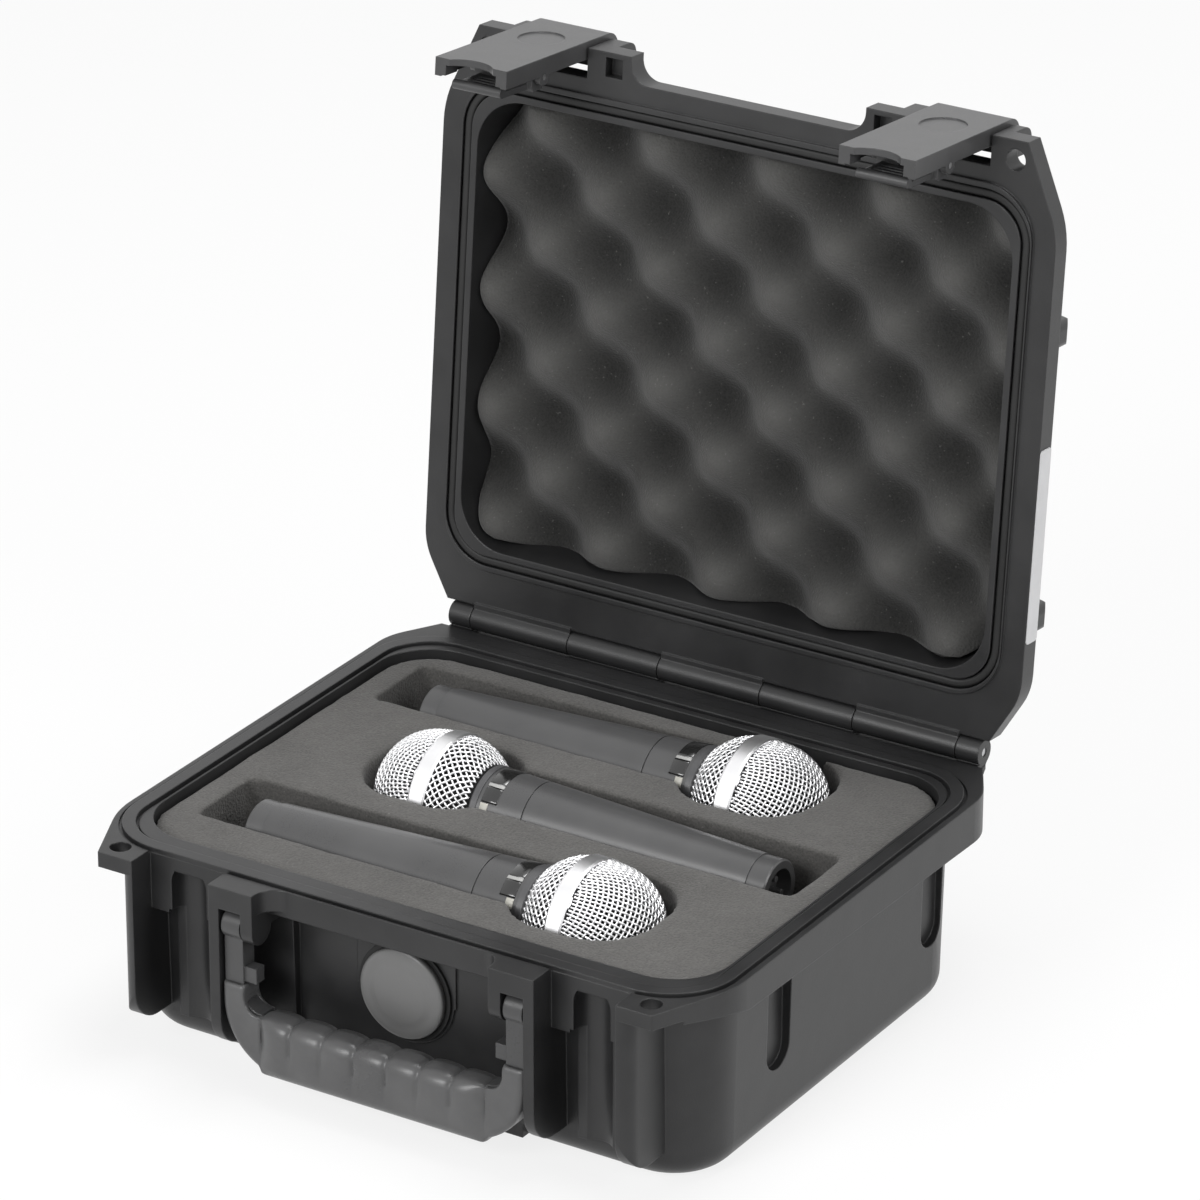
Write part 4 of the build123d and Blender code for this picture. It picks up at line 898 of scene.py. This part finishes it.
@dataclass
class LidFoam:
    """The convoluted foam in the lid: rows of rounded peaks over a solid back, with painted light
    on the peaks and painted shade in the valleys.
    """

    half_x: float = 114.9
    half_y: float = 89.7
    corner: float = 20.0
    rim: float = 80.3
    ceiling: float = 109.1
    draft: float = 6.0
    gap: float = 0.5
    middle: float = 92.6            # height halfway from peak to valley, closed
    swing: float = 8.6              # from there to a peak
    pitch_x: float = 25.0           # from a peak to the next valley
    pitch_y: float = 23.4
    first_x: float = 17.2           # one peak's place
    first_y: float = 11.2
    slant: float = 0.06             # how far each row leans, as a slope
    hinge_y: float = 119.2
    hinge_z: float = 83.5
    opening: float = 95.3
    cells: tuple[int, int, int] = (150, 118, 7)
    wander: float = 0.25
    wander_size: float = 9.0
    # how sharply the painted light fades from the peaks into the shaded valleys
    peak_light_power: float = 1.7

    def build(self) -> None:
        """Grow the foam, shift its points a little and turn it open about the hinge."""
        made = self.grown()
        turn = self.opened()
        for vertex in made.data.vertices:
            stray = noise.noise_vector(vertex.co / (self.wander_size * MM))
            vertex.co = turn @ (vertex.co + self.wander * MM * stray)
        made.data.update()
        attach(made, "lid")
        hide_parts("lid_foam")
        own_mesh(made)
        log.info("built %s with %d faces", made.name, len(made.data.polygons))

    def opened(self) -> Matrix:
        """The turn about the hinge from closed to open."""
        pin = Vector((0, self.hinge_y * MM, self.hinge_z * MM))
        return (Matrix.Translation(pin) @ Matrix.Rotation(math.radians(-self.opening), 4, "X")
                @ Matrix.Translation(-pin))

    def grown(self) -> bpy.types.Object:
        """Grow the closed foam block from a grid whose face follows a rule, and store painted light
        that is high on the peaks and low in the valleys.

        Returns:
            The foam in its closed place.
        """
        tree = Grower("convoluted_foam")
        half_x = tree.number("Half Width", self.half_x)
        half_y = tree.number("Half Depth", self.half_y)
        corner = tree.number("Corner Radius", self.corner)
        gap = tree.number("Gap", self.gap)
        rim = tree.number("Rim Height", self.rim)
        ceiling = tree.number("Ceiling Height", self.ceiling)
        slope = tree.number("Wall Slope", math.tan(math.radians(self.draft)))
        middle = tree.number("Face Height", self.middle)
        swing = tree.number("Peak Height", self.swing)
        rule = (tree.number("First Across", self.first_x), tree.number("First Along", self.first_y),
                tree.number("Pitch Across", self.pitch_x), tree.number("Pitch Along", self.pitch_y),
                tree.number("Slant", self.slant))
        block = tree.add("GeometryNodeMeshCube", inputs={
            "Size": (2, 2, 1),
            "Vertices X": tree.count("Cells Across", self.cells[0]),
            "Vertices Y": tree.count("Cells Along", self.cells[1]),
            "Vertices Z": tree.count("Cells Deep", self.cells[2])})
        x, y, z = tree.place()
        depth = z + 0.5
        face = middle - swing * self.wave(half_x * x, half_y * y, *rule)
        height = face + (ceiling - face) * depth
        inset = (height - rim) * slope + gap
        reach_y = half_y - inset
        place_y = reach_y * y
        bend = (corner - inset).at_least(1.0)
        over = (place_y.size() - (reach_y - bend)).at_least(0.0)
        cut = bend - (bend * bend - over * over).at_least(0.0).root()
        place_x = (half_x - inset - cut) * x
        peaks = self.wave(place_x, place_y, *rule)
        face = middle - swing * peaks
        height = face + (ceiling - face) * depth
        # Painted light: stored as lift, it makes the foam's colour lighter on the peaks and darker
        # in the valleys.
        tone = (peaks * 0.5 + 0.5) ** self.peak_light_power
        marked = tree.add(
            "GeometryNodeStoreNamedAttribute", {"data_type": "FLOAT", "domain": "POINT"},
            {"Geometry": block.outputs["Mesh"], "Name": "lift", "Value": tone}).outputs[0]
        shape = tree.moved(marked, tree.joined(place_x * MM, place_y * MM, height * MM))
        return tree.grow("lid_foam_convoluted", tree.smooth(shape), Finish.LID_FOAM.made())

    @staticmethod
    def wave(x: Value, y: Value, first_x: Value, first_y: Value,
             pitch_x: Value, pitch_y: Value, slant: Value) -> Value:
        """Staggered rounded peaks.

        Args:
            x: place across.
            y: place along.
            first_x: one peak's place across.
            first_y: the same peak's place along.
            pitch_x: peak to valley, across.
            pitch_y: peak to valley, along.
            slant: how far each row leans.

        Returns:
            1 on each peak and -1 in each valley.
        """
        along = y - first_y
        across = x - first_x - along * slant
        return (across * math.pi / pitch_x).cos() * (along * math.pi / pitch_y).cos()


@dataclass
class Microphone:
    """One handheld microphone: lacquered body, neck strip, collar and woven grille."""

    row: str
    y: float
    way: int
    z: float = 66.3
    tail: float = 93.0              # the tail's end, from the middle of the case
    grille: float = 124.0           # from the tail's end to the grille
    lower: float = 14.0             # length of the lower grille
    band: float = 7.0               # length of the band after it
    foot: float = 18.0              # radius at the collar
    mesh: float = 25.0              # radius at the band
    bulge: float = 1.5
    dome: float = 25.0
    blunt: float = 2.25             # 2 is a round dome, and more is a squarer one
    wire: float = 0.44              # radius of each wire
    weave: float = 0.25             # how far the wires rise and sink
    pitch: float = 2.12             # between the dome's wires
    around: int = 48                # wires of each hand round the lower grille
    twist: float = 38.0             # how far each of them leans
    wire_sides: int = 6
    lower_steps: int = 26
    dome_steps: int = 110
    wire_foot: float = 0.6
    dome_over: float = 1.03
    strand_over: float = 1.02
    dome_turn: float = 45.0
    liner_gap: float = 0.15
    liner_foot: float = 0.3
    liner_around: int = 64
    liner_lower_steps: int = 8
    liner_dome_steps: int = 16
    strip_from: float = 112.6
    strip_to: float = 119.2
    strip_proud: float = 0.22
    strip_under: float = 0.1
    strip_soft: float = 0.15
    strip_shoulder: float = 0.6
    strip_face: float = 3.0
    tab_length: float = 3.2
    neck: float = 16.9
    neck_end: float = 120.7
    tail_radius: float = 12.0

    def build(self) -> None:
        """Build the grille, liner and neck strip, and dress the rest."""
        row = self.row
        dress((f"mic_body_{row}", f"mic_tail_{row}"), Finish.BODY.made())
        dress((f"mic_collar_{row}",), Finish.COLLAR.made())
        dress((f"grille_band_{row}",), Finish.BAND.made())
        dress((f"mic_capsule_{row}",), Finish.CAPSULE.made())
        weave = self.woven()
        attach(weave, f"mic_{row}")
        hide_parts(f"grille_lower_{row}", f"grille_dome_{row}")
        for made, slot in [(self.liner(), "capsule"),
                           *((strip, "mic_collar") for strip in self.strips())]:
            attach(made, f"mic_{row}")
        log.info("built microphone %s with %d grille faces", row, len(weave.data.polygons))

    def placed(self, made: bpy.types.Object) -> bpy.types.Object:
        """Move a piece drawn along +X from the tail to its place in the foam."""
        turn = Matrix.Rotation(0 if self.way > 0 else math.pi, 4, "Z")
        made.data.transform(Matrix.Translation(
            (-self.way * self.tail * MM, self.y * MM, self.z * MM)) @ turn)
        made.data.update()
        return made

    def woven(self) -> bpy.types.Object:
        """Weave the wires of the lower grille and the dome.

        Returns:
            One mesh with all the wires, in place.
        """
        tree = Grower(f"woven_grille_{self.row}")
        wire = tree.number("Wire Radius", self.wire)
        weave = tree.number("Weave Height", self.weave)
        inset = wire + weave
        lines = [self.lower_wires(tree, inset, weave, hand) for hand in (1.0, -1.0)]
        lines += [self.dome_wires(tree, inset, weave, hand) for hand in (1.0, -1.0)]
        ring = tree.add("GeometryNodeCurvePrimitiveCircle", {"mode": "RADIUS"},
                        {"Resolution": self.wire_sides, "Radius": wire * MM})
        tube = tree.add("GeometryNodeCurveToMesh", inputs={
            "Curve": tree.join(*lines), "Profile Curve": ring.outputs[0], "Fill Caps": True})
        name = f"grille_weave_{self.row}"
        return self.placed(tree.grow(name, tree.smooth(tube.outputs[0]), Finish.WEAVE.made()))

    def strands(self, tree: Grower, across: int, steps: int) -> bpy.types.NodeSocket:
        """Straight strands along X from 0 to 1, one for each whole y.

        Args:
            tree: the tree to build in.
            across: how many strands.
            steps: points on each.

        Returns:
            The curves.
        """
        line = tree.add("GeometryNodeCurvePrimitiveLine",
                        inputs={"Start": (0, 0, 0), "End": (1, 0, 0)})
        fine = tree.add("GeometryNodeResampleCurve",
                        inputs={"Curve": line.outputs[0], "Count": steps})
        rail = tree.add("GeometryNodeMeshLine", inputs={"Count": across, "Offset": (0, 1, 0)})
        copies = tree.add("GeometryNodeInstanceOnPoints",
                          inputs={"Points": rail.outputs[0], "Instance": fine.outputs[0]})
        return tree.add("GeometryNodeRealizeInstances", inputs={0: copies.outputs[0]}).outputs[0]

    def lower_wires(self, tree: Grower, inset: Value, weave: Value,
                    hand: float) -> bpy.types.NodeSocket:
        """Slanting wires between the collar and the band.

        Args:
            tree: the tree to build in.
            inset: how far the wires' centres lie inside the grille's surface.
            weave: how far they rise and sink.
            hand: 1 or -1, the way they lean.

        Returns:
            The curves.
        """
        curves = self.strands(tree, self.around, self.lower_steps)
        along, number, _ = tree.place()
        twist = math.radians(self.twist)
        angle = number * (2 * math.pi / self.around) + along * (hand * twist)
        crossings = along * (2 * twist * self.around / (2 * math.pi))
        wave = (crossings * math.pi).cos() * weave * hand
        radius = self.lower_radius(along) - inset + wave
        reach = along * (self.lower - self.wire_foot) + (self.grille + self.wire_foot)
        spot = tree.joined(reach * MM, radius * angle.cos() * MM, radius * angle.sin() * MM)
        return tree.moved(curves, spot)

    def lower_radius(self, along: Any) -> Any:
        """The lower grille's radius, at a share of its length from the collar."""
        return along * (self.mesh - self.foot) + self.foot + along * (1 - along) * (4 * self.bulge)

    def dome_wires(self, tree: Grower, inset: Value, weave: Value,
                   hand: float) -> bpy.types.NodeSocket:
        """A square weave pressed over the dome.

        Args:
            tree: the tree to build in.
            inset: how far the wires' centres lie inside the grille's surface.
            weave: how far they rise and sink.
            hand: 1 for one set of wires and -1 for those across them.

        Returns:
            The curves.
        """
        reach = self.dome * math.pi / 2 * self.dome_over
        count = 2 * int(reach / self.pitch) + 1
        curves = self.strands(tree, count, self.dome_steps)
        along, number, _ = tree.place()
        first = (along * 2 - 1) * (reach * self.strand_over)
        line = number - (count - 1) / 2
        second = line * self.pitch
        away = (first * first + second * second).root()
        beyond = tree.add(
            "FunctionNodeCompare", {"data_type": "FLOAT", "operation": "GREATER_THAN"},
            {0: away, 1: reach}).outputs[0]
        wave = ((first / self.pitch + line) * math.pi).cos() * weave * hand
        phi = away * (math.pi / 2 / reach)
        power = 2 / self.blunt
        axial = phi.cos().at_least(0.0) ** power
        radial = phi.sin().at_least(0.0) ** power
        safe = away.at_least(0.001)
        size = self.dome - inset + wave
        flat = size * radial / safe
        pair = (first * flat, second * flat) if hand > 0 else (second * flat, first * flat)
        spin = math.radians(self.dome_turn)
        across = pair[0] * math.cos(spin) - pair[1] * math.sin(spin)
        upward = pair[0] * math.sin(spin) + pair[1] * math.cos(spin)
        base = self.grille + self.lower + self.band
        return self.trimmed(tree, curves, beyond, (base + size * axial, across, upward))

    @staticmethod
    def trimmed(tree: Grower, curves: bpy.types.NodeSocket, beyond: bpy.types.NodeSocket,
                place: tuple[Value, Value, Value]) -> bpy.types.NodeSocket:
        """Drop the points past the dome's edge, then put the rest in place."""
        kept = tree.add("GeometryNodeCaptureAttribute")
        kept.capture_items.new("VECTOR", "place")
        tree.nodes.links.new(curves, kept.inputs["Geometry"])
        spot = tree.joined(*(length * MM for length in place))
        tree.nodes.links.new(spot, kept.inputs[1])
        cut = tree.add("GeometryNodeDeleteGeometry", {"domain": "POINT"},
                       {"Geometry": kept.outputs[0], "Selection": beyond})
        return tree.moved(cut.outputs[0], kept.outputs[1])

    def liner(self) -> bpy.types.Object:
        """The dark foam inside the grille.

        Returns:
            A closed turned shell just inside the wires.
        """
        deep = 2 * (self.wire + self.weave) + self.liner_gap
        start = self.grille + self.liner_foot
        profile = [(start, 0.0)]
        for step in range(self.liner_lower_steps + 1):
            along = step / self.liner_lower_steps
            reach = start + along * (self.lower - self.liner_foot)
            profile.append((reach, self.lower_radius(along) - deep))
        base = self.grille + self.lower + self.band
        size = self.dome - deep
        power = 2 / self.blunt
        for step in range(self.liner_dome_steps + 1):
            phi = math.pi / 2 * (1 - step / self.liner_dome_steps)
            profile.append((base + size * max(math.cos(phi), 0) ** power,
                            size * max(math.sin(phi), 0) ** power))
        shape = turned_points(profile, self.liner_around)
        return self.placed(from_bmesh(f"grille_liner_{self.row}", shape, Finish.LINER.made()))

    def strips(self) -> list[bpy.types.Object]:
        """The segments of the band round the neck, each from one angle to another.

        Returns:
            Two dark segments, the pale line between them and the pale end tab.
        """
        mirror = 1 if self.way > 0 else -1
        spans = [("long", Finish.STRIP, -78, 24), ("line", Finish.STRIPE, 24, 29),
                 ("short", Finish.STRIP, 29, 52), ("tab", Finish.TAB, 53, 66)]
        made = []
        for name, finish, first, last in spans:
            ends = sorted((90 + mirror * first, 90 + mirror * last))
            made.append(self.placed(self.strip(name, finish, ends[0], ends[1])))
        return made

    def strip(self, name: str, finish: Finish, first: float, last: float) -> bpy.types.Object:
        """One closed segment that hugs the tapered neck.

        Args:
            name: what the segment is.
            finish: its finish.
            first: where it starts, in degrees round the neck.
            last: where it ends.

        Returns:
            The segment.
        """
        slope = (self.neck - self.tail_radius) / self.neck_end
        end = self.strip_to
        start = end - self.tab_length if finish is Finish.TAB else self.strip_from
        low, high = (self.tail_radius + slope * x for x in (start, end))
        under, proud, soft = self.strip_under, self.strip_proud, self.strip_soft
        shoulder = proud * self.strip_shoulder
        profile = [(start, low - under), (start, low + shoulder), (start + soft, low + proud),
                   (end - soft, high + proud), (end, high + shoulder), (end, high - under),
                   (start, low - under)]
        steps = max(int(abs(last - first) / self.strip_face), 4)
        shape = turned_points(profile, steps, first, last)
        rims = [edge for edge in shape.edges if edge.is_boundary]
        bmesh.ops.holes_fill(shape, edges=rims, sides=0)
        return from_bmesh(f"neck_{name}_{self.row}", shape, finish.made())


# ---------------------------------------------------------------- studio
@dataclass
class Lamp:
    """A soft area lamp that faces the case, placed in metres."""

    name: str
    place: tuple[float, float, float]
    size: float
    watts: float
    aim: tuple[float, float, float] = (0.0, 0.0, 0.12)

    def build(self) -> None:
        """Hang the lamp."""
        data = bpy.data.lights.new(self.name, "AREA")
        data.shape, data.size, data.energy = "DISK", self.size, self.watts
        lamp = bpy.data.objects.new(self.name, data)
        lamp.location = self.place
        facing = Vector(self.aim) - Vector(self.place)
        lamp.rotation_euler = facing.to_track_quat("-Z", "Y").to_euler()
        bpy.context.scene.collection.objects.link(lamp)


@dataclass
class Studio:
    """Floor, white surroundings, lamps and camera, placed in metres."""

    floor_size: float = 8.0
    floor_tone: float = 0.86
    floor_glow: float = 0.82
    soft_light: float = 0.28
    eye: tuple[float, float, float] = (1.1532, -1.8123, 1.1490)
    turn: tuple[float, float, float] = (65.35, -0.11, 31.99)
    lens: float = 197.2
    sensor: float = 36.0
    lamps: list[Lamp] = field(default_factory=lambda: [
        Lamp("key", (-0.5, -2.2, 1.4), 1.2, 36.0),
        Lamp("side", (2.3, -0.3, 1.4), 1.3, 18.0),
        Lamp("top", (0.2, 0.5, 2.4), 1.2, 36.0),
    ])

    def build(self) -> None:
        """Set the whole studio."""
        scene = bpy.context.scene
        scene.view_settings.view_transform = "Standard"
        self.floor()
        self.surroundings()
        for lamp in self.lamps:
            lamp.build()
        data = bpy.data.cameras.new("camera")
        data.sensor_width, data.lens = self.sensor, self.lens
        data.clip_start, data.clip_end = 0.05, 50.0
        camera = bpy.data.objects.new("camera", data)
        camera.location = self.eye
        camera.rotation_euler = Euler([math.radians(angle) for angle in self.turn])
        scene.collection.objects.link(camera)
        scene.camera = camera
        log.info("studio is set")

    @staticmethod
    def seen(tree: Tree) -> Value:
        """1 for rays from the camera, from a mirror or through glass."""
        path = tree.add("ShaderNodeLightPath")
        return (tree.value(path, "Is Camera Ray").at_least(tree.value(path, "Is Glossy Ray"))
                .at_least(tree.value(path, "Is Transmission Ray")))

    def floor(self) -> None:
        """A plain pale floor that keeps the case's shadow."""
        half = self.floor_size / 2
        mesh = bpy.data.meshes.new("floor")
        corners = [(-half, -half, 0), (half, -half, 0), (half, half, 0), (-half, half, 0)]
        mesh.from_pydata(corners, [], [(0, 1, 2, 3)])
        paint = Paint("floor")
        tone = (self.floor_tone, self.floor_tone, self.floor_tone, 1)
        plain = paint.add("ShaderNodeBsdfDiffuse", inputs={"Color": tone})
        glow = paint.add("ShaderNodeEmission", inputs={"Color": (1, 1, 1, 1), "Strength": 1.0})
        share = self.seen(paint) * self.floor_glow
        blend = paint.add("ShaderNodeMixShader",
                          inputs={0: share, 1: plain.outputs[0], 2: glow.outputs[0]})
        paint.add("ShaderNodeOutputMaterial", inputs={"Surface": blend.outputs[0]})
        made = piece("floor", mesh, paint.material)

    def surroundings(self) -> None:
        """White for the camera and a soft even light for the case."""
        world = bpy.data.worlds.new("surroundings")
        world.use_nodes = True
        world.node_tree.nodes.clear()
        tree = Tree(world.node_tree)
        soft = tree.add("ShaderNodeBackground",
                        inputs={"Color": (1, 1, 1, 1), "Strength": self.soft_light})
        white = tree.add("ShaderNodeBackground", inputs={"Color": (1, 1, 1, 1), "Strength": 1.0})
        blend = tree.add("ShaderNodeMixShader",
                         inputs={0: self.seen(tree), 1: soft.outputs[0], 2: white.outputs[0]})
        tree.add("ShaderNodeOutputWorld", inputs={"Surface": blend.outputs[0]})
        bpy.context.scene.world = world


# Each microphone's row, place along the case in millimetres, and the way its grille points.
MICROPHONE_ROWS = (("front", -48.3248, 1), ("middle", 10.6689, -1), ("back", 67.2433, 1))


def main() -> None:
    """Set the studio, then build each sub-assembly in turn."""
    logging.basicConfig(level=logging.INFO, format="%(message)s")
    noise.seed_set(NOISE_SEED)
    Studio().build()
    Shells().build()
    for side in Side:
        Latch(side).build()
    Handle().build()
    Valve().build()
    BaseFoam().build()
    LidFoam().build()
    for row, y, way in MICROPHONE_ROWS:
        Microphone(row, y, way).build()


if __name__ == "__main__":
    main()
